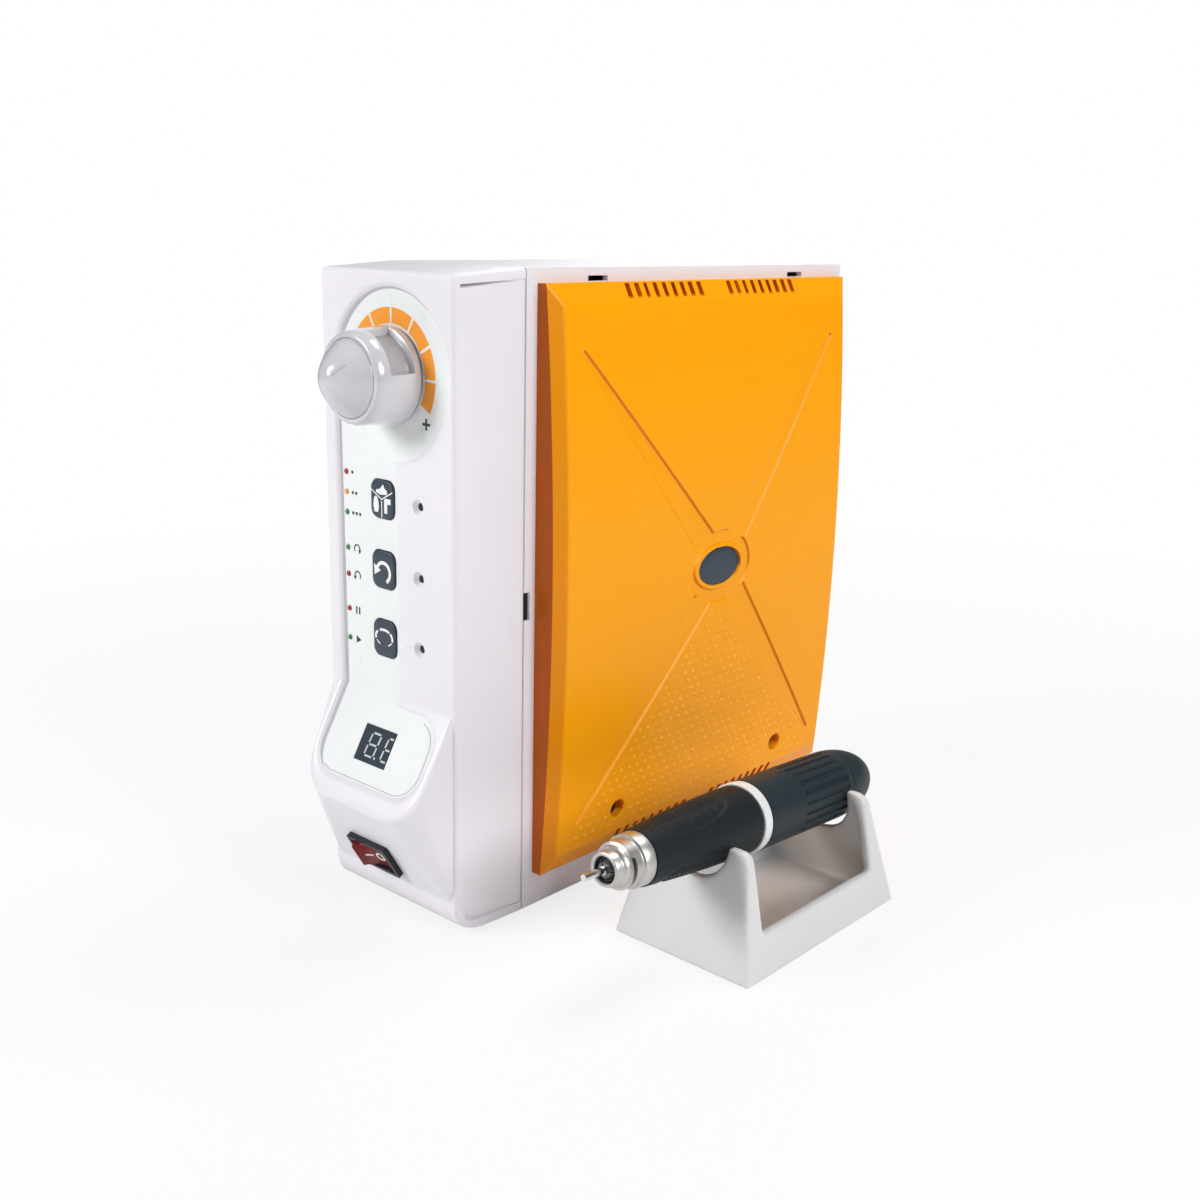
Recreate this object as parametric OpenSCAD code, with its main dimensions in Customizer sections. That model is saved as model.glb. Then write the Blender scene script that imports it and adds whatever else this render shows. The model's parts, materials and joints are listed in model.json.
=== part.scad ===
// Bench control box with a speed dial, and its motor handpiece resting in a cradle beside it.
// +X points to the cover side, +Y to the back and +Z up.
// The origin is on the bench, under the middle of the whole set.

/* [Control box] */
// Width of the box
box_w = 70.5; // [66:0.5:84]
// Depth of the box behind its front face
box_d = 217; // [205:1:250]
// Height of the box above the bench
box_h = 230; // [224:1:250]
// Thickness of the moulded walls
wall = 2.5; // [2:0.1:3]
// Distance from the front face to the seam of the two shells
seam_y = 31; // [29:0.5:38]
// How much each side of the front shell leans in towards the front
draft = 1.8; // [0.5:0.1:2.5]
// Depth of the side cheeks below the front rim
cheek = 2; // [1:0.1:2.5]
// Width of the rim around the side cheeks
rim_w = 3.2; // [2.5:0.1:5]
// Rounding of the lower front corner
toe_r = 10; // [6:0.5:11]
// Rounding of the other front edges
edge_r = 1.6; // [0.8:0.1:2.5]
// Height of the shells above the bench, on their feet
foot_lift = 1; // [0.5:0.1:2]
// Diameter of a rubber foot
foot_d = 13; // [9:0.5:16]

/* [Control label] */
// Sideways place of the dial's centre
dial_x = 1.9; // [-2:0.1:2.1]
// Distance of the dial's centre below the top of the box
dial_drop = 35.7; // [35:0.1:42]
// Radius of the round end of the label
dial_r = 29.5; // [26:0.5:29.5]
// Width of the label's strip under the dial
strip_w = 33; // [29:0.1:36]
// Depth of the label's face below the front face
label_depth = 1; // [0.8:0.1:2.5]
// Thickness of the label
label_t = 0.5; // [0.3:0.05:0.8]
// Gap around the label in its recess
label_gap = 0.2; // [0.1:0.05:0.4]

/* [Keys and lamps] */
// Width of a key pad
key_w = 11.9; // [10:0.1:13]
// Height of a key pad
key_h = 13.3; // [11:0.1:15]
// Rounding of a key pad's corners
key_r = 3.2; // [1.5:0.1:5]
// Gap around a key pad
key_gap = 0.3; // [0.2:0.05:0.5]
// How far a key stands out of the label
key_proud = 0.7; // [0.6:0.05:1.2]
// How far a key travels when it is pressed
key_travel = 0.5; // [0.3:0.05:0.6]
// Distance of the keys to the left of the dial's centre
key_left = 5; // [4:0.1:8]
// Place of the first key, as a share of the run from the dial's centre to the pod
key_share = 0.378; // [0.37:0.002:0.4]
// Spacing of the keys, as a share of that run
pitch_share = 0.22; // [0.2:0.002:0.23]
// Diameter of an indicator lamp
led_d = 2; // [1.6:0.1:2.4]
// Distance of the lamps to the left of the dial's centre
led_left = 24.8; // [23:0.1:26.5]
// Distance between the lamps beside the first key
led_pitch = 7.2; // [5:0.1:8]
// Distance of the adjuster holes to the right of the dial's centre
trim_right = 13.8; // [12:0.1:18]
// Diameter of an adjuster hole
trim_d = 2; // [1.6:0.1:2.6]
// Diameter of the conical dimple around an adjuster hole
dimple_d = 5.6; // [4:0.1:7]

/* [Display pod] */
// Height where the pod starts under the keys
pod_top = 81.8; // [80:0.1:88]
// Height of the pod's ridge
pod_ridge = 45.8; // [42:0.1:50]
// Height where the pod's underside meets the front face
pod_foot = 13; // [12:0.5:16]
// How far the pod's ridge stands out of the front face
pod_out = 20.5; // [17:0.5:22]
// Half the width of the pod at its ridge
pod_half = 30.9; // [28:0.1:31]
// Sideways place of the pod's middle
pod_x = 1.6; // [0:0.1:2]
// Rounding of the pod's lower corners
pod_r = 15.5; // [12:0.5:18]
// Width of the label's lower panel
panel_w = 57.2; // [48:0.1:60]
// Sideways place of the lower panel's centre
panel_x = 0.9; // [0:0.1:2.5]
// Length of the label's lower panel along the slope
panel_h = 32.6; // [28:0.1:34]
// Rounding of the lower panel
panel_r = 12.5; // [6:0.5:14]
// Width of the pod's rim under the lower panel
panel_rim = 5.5; // [3:0.1:8]
// Width of the display window
window_w = 16.5; // [14:0.1:20]
// Height of the display window along the slope
window_h = 13.3; // [12:0.1:16]
// Distance of the window's centre below the pod's top edge, along the slope
window_down = 18; // [14:0.5:22]
// Sideways place of the window's centre
window_x = 1.1; // [0:0.1:4]

/* [Power switch] */
// Width of the switch bezel
bezel_w = 21; // [19:0.5:22]
// Height of the switch bezel along the slope
bezel_h = 15; // [13:0.5:16]
// Thickness of the switch bezel
bezel_t = 2; // [1.5:0.1:2.5]
// Sideways place of the switch
switch_x = -1.5; // [-6:0.5:6]
// Distance of the switch's centre above the pod's foot, along the slope
switch_up = 12.5; // [11:0.5:16]
// Lean of the rocker to each side
rock_angle = 12; // [8:0.5:14]
// Gap around the rocker
rock_gap = 0.4; // [0.3:0.05:0.6]

/* [Side cover] */
// Distance from the seam to the cover
cover_lead = 5; // [4:0.5:8]
// Distance from the cover to the back of the box
cover_tail = 4; // [3:0.5:8]
// Height of the cover's lower edge
cover_foot = 14; // [12:0.5:18]
// Distance of the cover's upper edge below the top
cover_drop = 5; // [4:0.5:8]
// Height of the cover's flank at its corners
cover_edge = 4; // [3:0.5:6]
// Extra height of the cover half-way up
cover_bulge = 4.6; // [2:0.1:7]
// Height of the bevel above the flank
bevel_x = 3; // [2:0.5:4]
// Width of the bevel along the front and back edges
bevel_y = 5; // [3:0.5:7]
// Width of the bevel along the top and bottom edges
bevel_z = 7; // [5:0.5:9]
// Thickness of the cover
cover_t = 2.2; // [1.6:0.1:2.6]
// Depth of the engraved arms and of the badge's seat ring
engrave = 0.8; // [0.4:0.1:1]
// Number of vent slots in a group
vent_n = 9; // [5:1:9]
// Width of a vent slot
vent_w = 2; // [1.2:0.1:2.6]
// Distance from vent slot to vent slot
vent_pitch = 5; // [4:0.1:5.4]
// Distance of a vent group's middle from the cover's middle
vent_off = 29; // [26:0.5:34]
// Width of the oval badge
badge_w = 26; // [20:0.5:30]
// Height of the oval badge
badge_h = 15; // [14:0.5:22]
// Thickness of the oval badge
badge_t = 1; // [0.6:0.1:1.2]
// Distance of the oval badge behind the cover's middle
badge_off = 2.6; // [0:0.1:6]
// Half the width of an engraved arm's tip
arm_tip = 0.7; // [0.4:0.1:1.5]
// Distance of each cover screw from the cover's middle
cover_screw_off = 51; // [40:0.5:60]
// Height of the cover screws above the cover's lower edge
cover_screw_up = 16; // [13:0.5:20]

/* [Knob] */
// Diameter of the knob's skirt
knob_d = 33; // [28:0.5:35]
// Height of the knob's skirt above the front face
knob_skirt = 12.2; // [9:0.1:14]
// Height of the shoulder above the skirt
knob_shoulder = 4.6; // [3:0.1:6]
// Diameter of the domed cap
cap_d = 25.8; // [20:0.2:26]
// Height of the domed cap
cap_h = 9.6; // [7:0.1:14]
// Gap between the knob and the label
knob_gap = 0.7; // [0.4:0.1:1]
// Diameter of the potentiometer's shaft
shaft_d = 6; // [5:0.5:6.5]
// Direction of the knob's pointer at rest, from +X towards +Z
pointer_angle = 43; // [-30:1:210]
// Radial clearance of parts that turn on each other
run_gap = 0.05; // [0.02:0.01:0.08]

/* [Handpiece] */
// Height of the handpiece's axis above the bench, over the middle of the cradle
axis_z = 41.6; // [40:0.1:46]
// Rise of the nose, in degrees
tilt = 3.6; // [1:0.1:4]
// Distance of the trim ring in front of the cradle's middle
ring_at = 14; // [12:0.5:15]
// Width of the trim ring
ring_w = 4.2; // [2:0.1:5]
// Diameter of the trim ring
ring_d = 25.8; // [25.2:0.1:26]
// Length of the rubber grip
grip_len = 54.4; // [50:0.1:60]
// Diameter of the rubber grip at the nose
grip_d_front = 19.2; // [18.6:0.1:21]
// Diameter of the rubber grip at the trim ring
grip_d_back = 24.6; // [23.5:0.1:25.4]
// Length of the steel nose
nose_len = 15.5; // [14:0.5:18]
// Diameter of the nose's front ring
nose_d = 12; // [11:0.1:12.6]
// Length of the motor case
case_len = 52; // [51.5:0.5:58]
// Diameter of the motor case
case_d = 26; // [25.2:0.1:26.4]
// Length of the domed rear cap
dome_len = 23; // [18:0.5:26]
// Diameter of the cord's port in the rear cap
port_d = 9; // [7:0.5:10]
// Number of grip grooves around the motor case
groove_n = 22; // [12:1:26]
// Depth of a grip groove
groove_depth = 0.8; // [0.4:0.1:1]
// Diameter of the tool shank
shank_d = 2.35; // [2.34:0.01:3]
// Length of the shank that stands out of the nose
shank_out = 9.5; // [6:0.5:20]
// How far the shank's thick held part stands out of the nose
tip_from = 0.6; // [0.4:0.1:2]
// Turn of the grip that opens the chuck, in degrees
twist = 60; // [40:1:90]
// Travel of the release ring over that turn
release_travel = 1.2; // [0.6:0.1:1.4]

/* [Cradle] */
// Distance of the cradle's middle from the box's middle plane
cradle_x = 98.5; // [90:0.5:120]
// Distance of the cradle's middle behind the front face
cradle_y = 90; // [80:0.5:120]
// Length of the cradle's base
cradle_len = 93; // [90:0.5:100]
// Width of the cradle's base
cradle_w = 59; // [54:0.5:66]
// Rounding of the horns' outer corners
horn_r = 4; // [2:0.5:5]
// How far the notches lie below the handpiece's axis
notch_drop = 2; // [1:0.1:3]
// Height of the cradle's horns
horn_h = 42.5; // [40:0.5:44]
// Lean of the end plates over the horns' height
lean_y = 9; // [6:0.5:11]
// Lean of the sides over the horns' height
lean_x = 8.7; // [6:0.1:10]
// Height of the side rails
rail_h = 14; // [10:0.5:18]
// Thickness of the end plates and rails
cradle_t = 4; // [3:0.1:5]
// Thickness of the tray's floor
tray_t = 3; // [2:0.1:4]
// Gap between the handpiece and its notches
rest_gap = 0.3; // [0.2:0.05:0.5]

/* [Inside the box] */
// Length of the transformer core along the box
core_w = 57; // [48:0.5:62]
// Height of the transformer core
core_h = 48; // [40:0.5:54]
// Thickness of the core's stack of plates
core_stack = 30; // [24:0.5:34]
// Thickness of the circuit boards
pcb_t = 1.6; // [1:0.1:2]
// Height of the posts under the power board
post_h = 8; // [6:0.5:12]
// Width of the power board
power_w = 47; // [44:0.5:48]
// Length of the power board
power_l = 70; // [66:0.5:74]
// Length of the heat sink
sink_l = 42; // [36:0.5:44]
// Height of the heat sink
sink_h = 30; // [20:0.5:36]
// Diameter of a capacitor
cap_can_d = 17; // [12:0.5:18]
// Height of a capacitor
cap_can_h = 32; // [20:0.5:40]
// Diameter of the fixing screws' shanks
screw_d = 3; // [2.5:0.1:3.2]

/* [Hidden] */
$fn = 64;
hull_fn = 32;
eps = 0.02;
cut = 1;
arc_n = 8;

// Back panel sizes
inlet_w = 27;
inlet_h = 20;
inlet_z = 42;
inlet_depth = 18;
socket_d = 17;
socket_out = 6;
socket_z = 92;
jack_bore_d = 6.5;
jack_z = 124;
flange_t = 2.5;

// Values that follow from the driving dimensions
fit = 0.05;
shell_z = foot_lift;
floor_z = shell_z + wall;
front_half = box_w / 2 - draft;
cavity_half = front_half - cheek - wall;
dial_z = box_h - dial_drop;
label_back = label_depth + label_t;
front_t = label_back + wall;
strip_l = dial_x - dial_r;
key_x = dial_x - key_left;
label_run = dial_z - pod_top;
key_z = [for (i = [0:2]) dial_z - (key_share + i * pitch_share) * label_run];
led_x = dial_x - led_left;
trim_x = dial_x + trim_right;
slope_a = atan2(pod_out, pod_top - pod_ridge);
slope_len = pod_out / sin(slope_a);
bend = label_back * tan(slope_a / 2);
pod_lip = 1.6;
under_a = atan2(pod_out - pod_lip * cos(slope_a), pod_ridge - pod_lip * sin(slope_a) - pod_foot);
panel_top = slope_len - pod_lip - panel_rim - panel_h;
board_y = front_t + 8.5;
key_flange = 1.2;
switch_h = 3.5;
pot_r = 8;
pot_deep = 9;
bush_r = shaft_d / 2 + run_gap + 0.5;
nut_r = bush_r + 2.6;
knob_r = knob_d / 2;
knob_top = knob_skirt + knob_shoulder;
knob_tip = knob_top + cap_h;
shaft_end = knob_skirt - 1.7;
pocket_low = knob_gap - label_depth + 2.7;
rock_w = bezel_w - 4;
rock_h = bezel_h - 4;
pivot_z = -1.5;
pivot_r = 1;
cover_y0 = seam_y + cover_lead;
cover_y1 = box_d - cover_tail;
cover_y = (cover_y0 + cover_y1) / 2;
cover_z1 = box_h - cover_drop;
cover_z = (cover_foot + cover_z1) / 2;
cover_half = (cover_z1 - cover_foot) / 2;
arm_y = (cover_y1 - cover_y0) / 2 - 13.5;
cover_screw_z = cover_foot + cover_screw_up;
face_x = box_w / 2 + cover_edge + bevel_x + cover_bulge;
badge_y = cover_y + badge_off;
badge_z = cover_z - 3;
lip_w = 6;
mid_x = (cradle_x + cradle_w / 2 - box_w / 2) / 2;
mid_y = (box_d + socket_out - knob_tip) / 2;

// Stations along the handpiece's axis, counted from the cradle's middle towards the nose
ring_front = ring_at + ring_w / 2;
case_front = ring_at - ring_w / 2;
grip_back = ring_front + rest_gap;
grip_front = grip_back + grip_len;
nose_front = grip_front + nose_len;
case_back = case_front - case_len;
dome_back = case_back - dome_len;
shank_r = shank_d / 2;
held_r = shank_r + 0.3;
collet_r = shank_r + 1.4;
spindle_r = collet_r + 1.4;
tube_in = spindle_r + 2.5;
tube_out = tube_in + 1.1;
sleeve_in = tube_out + run_gap;
sleeve_out = sleeve_in + 1;
case_r = case_d / 2;
case_in = case_r - 1.9;
can_in = case_in - 1;
rear_r = 2.5;
rotor_r = can_in - 2.8;
seat_r = spindle_r + 2.3;
nose_bore = spindle_r + 0.45;
collet_len = 20;
brush_z = case_back + 11.5;
port_r = port_d / 2;
socket_r = port_r + 2.5;

// Points of an arc around c, from angle a0 to a1
function arc(c, r, a0, a1) = [for (i = [0:arc_n])
  let (a = a0 + (a1 - a0) * i / arc_n) c + r * [cos(a), sin(a)]];

// Outline of a rectangle with round corners
function rrect(w, h, r) = concat(
  arc([w / 2 - r, h / 2 - r], r, 0, 90), arc([r - w / 2, h / 2 - r], r, 90, 180),
  arc([r - w / 2, r - h / 2], r, 180, 270), arc([w / 2 - r, r - h / 2], r, 270, 360));

// Outline of an ellipse
function oval(w, h) = [for (a = [0:7.5:352.5]) [w / 2 * cos(a), h / 2 * sin(a)]];

// Height of the cover's bulge at height z
function bulge(z) = cover_bulge * (1 - pow((z - cover_z) / cover_half, 2));

// Radius of the rubber grip at a share t of its length, from the trim ring to the nose
function grip_r(t) = grip_d_back / 2 - (grip_d_back - grip_d_front) / 2 * pow(t, 1.8);

// Radius of the handpiece over a station s of its axis
function hand_r(s) = s > ring_front ? grip_r((s - grip_back) / grip_len) : case_r;

// Frames that the sub-parts are drawn in
module set_down() translate([-mid_x, -mid_y, 0]) children();
module on_front(x, z) translate([x, 0, z]) rotate([90, 0, 0]) children();
module on_back(x, z) translate([x, box_d, z]) rotate([90, 0, 180]) children();
module on_slope() translate([0, 0, pod_top]) rotate([90 - slope_a, 0, 0]) children();
module on_under() translate([0, 0, pod_foot]) rotate([90 + under_a, 0, 0]) children();
module at_switch() on_under() translate([switch_x, switch_up, 0]) children();
module at_dial() on_front(dial_x, dial_z) children();
module on_axis() translate([cradle_x, cradle_y, axis_z]) rotate([90 - tilt, 0, 0]) children();
module on_cover() translate([box_w / 2, 0, 0]) rotate([90, 0, 90]) children();

// Simple solids between two limits
module rod(r, z0, z1) translate([0, 0, z0]) cylinder(r = r, h = z1 - z0);
module pipe(r0, r1, z0, z1) difference() {
  rod(r1, z0, z1);
  rod(r0, z0 - cut, z1 + cut);
}
module block(p, q) translate(p) cube(q - p);
module slab(w, h, z0, z1) translate([-w / 2, -h / 2, z0]) cube([w, h, z1 - z0]);
module pad(w, h, r, z0, z1) translate([0, 0, z0]) linear_extrude(z1 - z0) polygon(rrect(w, h, r));
module along_x(len) rotate([90, 0, 90]) translate([0, 0, -len / 2]) linear_extrude(len) children();
module along_y(y0, y1) translate([0, y1, 0]) rotate([90, 0, 0]) linear_extrude(y1 - y0) children();

// A screw along -Z, its head standing on z = 0
module screw(len) {
  rod(screw_d, 0, screw_d * 0.6);
  rod(screw_d / 2, -len, eps);
}

// Places of the fixings
module at_board_posts() for (x = [key_x - 11.3, trim_x + 1], z = [key_z[0] + 10.5, key_z[2] - 10.5])
  translate([x, 0, z]) children();
module at_power_posts()
  for (x = [power_x + 5, power_x + power_w - 5], y = [power_y + 5, power_y + power_l - 5])
  translate([x, y, 0]) children();
module at_shell_screws() for (x = [-1, 1], z = [floor_z + 8, box_h - draft - wall - 8])
  translate([x * (cavity_half - 4.5), seam_y, z]) children();
module at_cover_screws() for (s = [-1, 1])
  translate([box_w / 2, cover_y + s * cover_screw_off, cover_screw_z]) rotate([0, 90, 0]) children();
module at_clamp_screws() for (s = [-1, 1]) translate([core_x, core_y + s * (core_w / 2 + 7), 0]) children();
module at_feet() for (x = [-1, 1], y = [seam_y + 14, box_d - 16])
  translate([x * (box_w / 2 - 14), y, 0]) children();
module at_keys() for (z = key_z) on_front(key_x, z) children();
module at_trims() for (z = key_z) on_front(trim_x, z) children();
module at_leds(places) for (z = places) on_front(led_x, z) children();

red_leds = [key_z[0] + led_pitch, key_z[1] - led_pitch * 0.67, key_z[2] + led_pitch];
green_leds = [key_z[0] - led_pitch, key_z[1] + led_pitch * 0.67, key_z[2] - led_pitch * 0.5];
amber_leds = [key_z[0]];
core_x = -5;
core_y = box_d - core_w - 5;
power_x = wall + fit - box_w / 2 + 2.7;
power_y = seam_y + 13;
sink_w = power_w * 0.38;
sink_x = power_x + power_w - sink_w + 5;
sink_y = power_y + (power_l - sink_l) / 2;

// Flat areas of the label: the dial with its strip, and the lower panel on the pod's slope
module label_area(g) {
  translate([dial_x, dial_z]) circle(r = dial_r + g);
  translate([strip_l - g, pod_top - bend - 0.3]) square([strip_w + 2 * g, dial_z - pod_top + bend]);
}
module panel_area(g) {
  translate([panel_x, -panel_top - panel_h / 2]) polygon(rrect(panel_w + 2 * g, panel_h + 2 * g, panel_r));
  translate([strip_l + fit - g, -panel_top - panel_r])
    square([strip_w - 2 * fit + 2 * g, panel_top + panel_r + bend - 0.1]);
}

// Front shell: a drafted tray with side cheeks, and the display pod at its foot
module front_block() intersection() {
  along_x(box_w + 2 * cut) polygon(concat([[seam_y, shell_z]],
    arc([toe_r, shell_z + toe_r], toe_r, 270, 180),
    arc([edge_r, box_h - draft - edge_r], edge_r, 180, 90), [[seam_y, box_h]]));
  linear_extrude(box_h + cut) polygon(concat([[-box_w / 2, seam_y]],
    arc([edge_r - front_half, edge_r], edge_r, 180, 270),
    arc([front_half - edge_r, edge_r], edge_r, 270, 360), [[box_w / 2, seam_y]]));
}
module pod_corners(r0, r1, z0, z1) on_slope() for (s = [-1, 1])
  translate([pod_x + s * (pod_half - pod_r), pod_r - slope_len, z0])
    cylinder(r1 = r0, r2 = r1, h = z1 - z0, $fn = hull_fn);
module pod_root(w, d) along_x(2 * w) polygon([[0, pod_foot], [d, pod_foot - d / tan(under_a)],
  [d, pod_top + d / tan(slope_a)], [0, pod_top]]);
module pod_block() hull() {
  pod_root(front_half - edge_r - 0.1, 1);
  pod_corners(pod_r, pod_r - pod_lip, -pod_lip, 0);
}
module pod_hollow() hull() {
  block([-cavity_half, front_t - cut, pod_foot + 2 * wall], [cavity_half, front_t + cut, pod_top - 2 * wall]);
  pod_corners(pod_r - 2 * wall, pod_r - 2 * wall, -front_t - cut, -front_t);
  on_slope() translate([pod_x, 0, 0])
    block([2 * wall - pod_half, pod_r - slope_len, -front_t - cut], [pod_half - 2 * wall, -6, -front_t]);
}
module cheek_cut() translate([0, 0, shell_z + rim_w]) linear_extrude(box_h - draft - shell_z - 2 * rim_w)
  polygon([[box_w / 2 - 0.2, seam_y + cut], [front_half - cheek, rim_w],
    [box_w, rim_w], [box_w, seam_y + cut]]);
module front_shell() color("whitesmoke") set_down() difference() {
  union() {
    difference() {
      union() {
        front_block();
        pod_block();
      }
      block([-cavity_half, front_t, floor_z], [cavity_half, seam_y + cut, box_h - draft - wall]);
      pod_hollow();
      for (m = [0, 1]) mirror([m, 0, 0]) cheek_cut();
    }
    at_board_posts() on_front(0, 0) rod(3, -board_y, -front_t + eps);
    at_shell_screws() on_front(0, 0) rod(5, 0, seam_y - front_t + eps);
  }
  on_front(0, 0) translate([0, 0, -label_back]) linear_extrude(label_back + cut) label_area(label_gap);
  on_slope() translate([0, 0, -label_back]) linear_extrude(label_back + cut) panel_area(label_gap);
  on_slope() translate([window_x, -window_down, 0])
    slab(window_w - 3, window_h - 3, -front_t - 3 * cut, -label_back + cut);
  at_keys() pad(key_w + 2 * key_gap, key_h + 2 * key_gap, key_r + key_gap, -front_t - cut, cut);
  at_leds(concat(red_leds, green_leds, amber_leds)) rod(led_d / 2 + fit, -front_t - cut, cut);
  at_trims() rod(trim_d / 2, -front_t - cut, cut);
  at_trims() translate([0, 0, -2]) cylinder(d1 = 0.8 * trim_d, d2 = dimple_d, h = 2 + eps);
  at_dial() rod(bush_r + fit, -front_t - cut, cut);
  at_switch() slab(bezel_w - 1.4, bezel_h - 1.4, -26, cut);
  at_board_posts() on_front(0, 0) rod(screw_d / 2 + fit, -board_y - cut, -front_t - 1);
  at_shell_screws() on_front(0, 0) rod(screw_d / 2 + fit, -cut, 14);
}

// Rear shell: a box that is open to the front shell and, inside a frame, to the side cover
module rear_shell() color("whitesmoke") set_down() difference() {
  union() {
    difference() {
      block([-box_w / 2, seam_y, shell_z], [box_w / 2, box_d, box_h]);
      block([wall - box_w / 2, seam_y - cut, floor_z], [box_w / 2 - wall, box_d - wall, box_h - wall]);
      block([0, cover_y0 + lip_w, cover_foot + lip_w], [box_w, cover_y1 - lip_w, cover_z1 - lip_w]);
    }
    at_power_posts() rod(3.5, floor_z - eps, floor_z + post_h);
    at_shell_screws() block([-4.5, 0, -4.5], [4.5, 3, 4.5]);
    for (x = [-1, 1], z = [floor_z + 8, box_h - draft - wall - 8])
      translate([0, seam_y, z - 4.5]) block([min(x * cavity_half, x * box_w / 2) , 0, 0],
        [max(x * cavity_half, x * box_w / 2), 3, 9]);
    for (s = [-1, 1]) translate([box_w / 2 - wall, cover_y + s * cover_screw_off - 7, cover_foot])
      cube([wall, 14, cover_screw_up + 7]);
  }
  at_shell_screws() on_front(0, 0) rod(screw_d / 2 + fit, -3 - cut, cut);
  at_power_posts() rod(screw_d / 2 + fit, floor_z + 1, floor_z + post_h + cut);
  at_cover_screws() rod(screw_d / 2 + fit, -wall - cut, cut);
  at_clamp_screws() rod(screw_d / 2 + fit, shell_z + 0.8, floor_z + cut);
  at_feet() rod(foot_d / 2 + fit, shell_z - cut, shell_z + 1.2);
  for (s = [-1, 1]) translate([box_w / 2 - wall - cut, cover_y + s * 59 - 5, cover_z1 + 0.3])
    cube([wall + 2 * cut, 10, 1.8]);
  translate([box_w / 2 - 1, seam_y - cut, cover_z - 9]) cube([1 + cut, 2.6 + cut, 10]);
  on_back(0, inlet_z) slab(inlet_w + 2 * fit, inlet_h + 2 * fit, -wall - cut, cut);
  on_back(0, socket_z) rod(socket_d / 2 - 1 + fit, -wall - cut, cut);
  on_back(0, jack_z) rod(jack_bore_d / 2 + 1.5 + fit, -wall - cut, cut);
}

// Side cover: a bulged lid with bevelled edges, vents and engraved arms
module cover_profile(h, z0, z1) polygon(concat([[0, z0]],
  [for (i = [0:16]) let (z = z0 + (z1 - z0) * i / 16) [h + bulge(z), z]], [[0, z1]]));
module cover_hull(t) hull() {
  translate([box_w / 2, 0, 0]) along_y(cover_y0 + t, cover_y1 - t)
    cover_profile(cover_edge - t, cover_foot + t, cover_z1 - t);
  translate([box_w / 2, 0, 0]) along_y(cover_y0 + bevel_y, cover_y1 - bevel_y)
    cover_profile(cover_edge + bevel_x - t, cover_foot + bevel_z, cover_z1 - bevel_z);
}
module arm(s, z_end, up) polygon([
  [cover_y + s * (arm_y + arm_tip), cover_z + z_end - up * arm_tip],
  [cover_y + s * (arm_y - arm_tip), cover_z + z_end + up * arm_tip],
  [badge_y + s * badge_w * 0.17, badge_z + up * badge_h * 0.9],
  [badge_y + s * badge_w * 0.61, badge_z + up * badge_h * 0.6]]);
module arms_area() {
  for (s = [-1, 1]) {
    arm(s, cover_half - 22.5, 1);
    arm(s, 16.5 - cover_half, -1);
  }
  difference() {
    translate([badge_y, badge_z]) polygon(oval(badge_w + 12, badge_h + 13.6));
    translate([badge_y, badge_z]) polygon(oval(badge_w + 2.4, badge_h + 2.4));
  }
}
module vent_row(z, lean) for (g = [-1, 1], i = [0:vent_n - 1])
  translate([box_w / 2 + cover_edge + 1, cover_y + g * vent_off + (i - (vent_n - 1) / 2) * vent_pitch, z])
    rotate([0, lean, 0]) slab(bevel_x + 9, vent_w, -1.7, 1.7);
module side_cover() color("orange") set_down() difference() {
  cover_hull(0);
  difference() {
    union() {
      cover_hull(cover_t);
      block([0, cover_y0 + cover_t, cover_foot + cover_t],
        [box_w / 2 + eps, cover_y1 - cover_t, cover_z1 - cover_t]);
    }
    at_cover_screws() rod(5, -cut, 3 * cover_bulge + cover_edge);
    on_cover() translate([badge_y, badge_z, face_x - box_w / 2 - cover_t - 2])
      linear_extrude(cover_t + 2) polygon(oval(badge_w + 4, badge_h + 4));
  }
  intersection() {
    on_cover() linear_extrude(2 * face_x) arms_area();
    difference() {
      translate([cut, 0, 0]) cover_hull(0);
      translate([-engrave, 0, 0]) cover_hull(0);
    }
  }
  at_cover_screws() rod(screw_d / 2 + fit, -cut, cover_bulge + cover_edge + 3 * cut);
  at_cover_screws() rod(screw_d + 0.3, 3, 6 * cover_bulge);
  on_cover() translate([badge_y, badge_z, face_x - box_w / 2 - badge_t - 0.6])
    linear_extrude(2 * badge_t + cut) polygon(oval(badge_w + 2 * fit, badge_h + 2 * fit));
  vent_row(cover_z1 - bevel_z / 2, 30);
  vent_row(cover_foot + bevel_z / 2, -30);
}
module cover_badge() color("darkslategray") set_down() on_cover()
  translate([badge_y, badge_z, face_x - box_w / 2 - badge_t - 0.6])
    linear_extrude(badge_t) polygon(oval(badge_w, badge_h));
module cover_screws() color("dimgray") set_down() at_cover_screws() translate([0, 0, 3]) screw(3 + wall);
module shell_screws() color("silver") set_down() at_shell_screws() translate([0, 3, 0])
  rotate([-90, 0, 0]) screw(15);

// Label and what shows through it
module control_label() color("white") set_down() difference() {
  union() {
    on_front(0, 0) translate([0, 0, -label_back]) linear_extrude(label_t) label_area(0);
    on_slope() translate([0, 0, -label_back]) linear_extrude(label_t) panel_area(0);
  }
  at_keys() pad(key_w + 2 * key_gap, key_h + 2 * key_gap, key_r + key_gap, -label_back - cut, cut);
  at_leds(concat(red_leds, green_leds, amber_leds)) rod(led_d / 2 + fit, -label_back - cut, cut);
  at_dial() rod(nut_r + 0.4, -label_back - cut, cut);
  on_slope() translate([window_x, -window_down, 0])
    slab(window_w + 2 * fit, window_h + 2 * fit, -label_back - cut, cut);
}
module display_window() color("darkslategray") set_down() on_slope() translate([window_x, -window_down, 0])
  pad(window_w, window_h, 0.6, -label_back, -label_depth + 0.15);
module display_module() color("gray") set_down() on_slope() translate([window_x, -window_down, 0])
  slab(window_w - 1, window_h + 4, -front_t - 9, -front_t);
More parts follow.
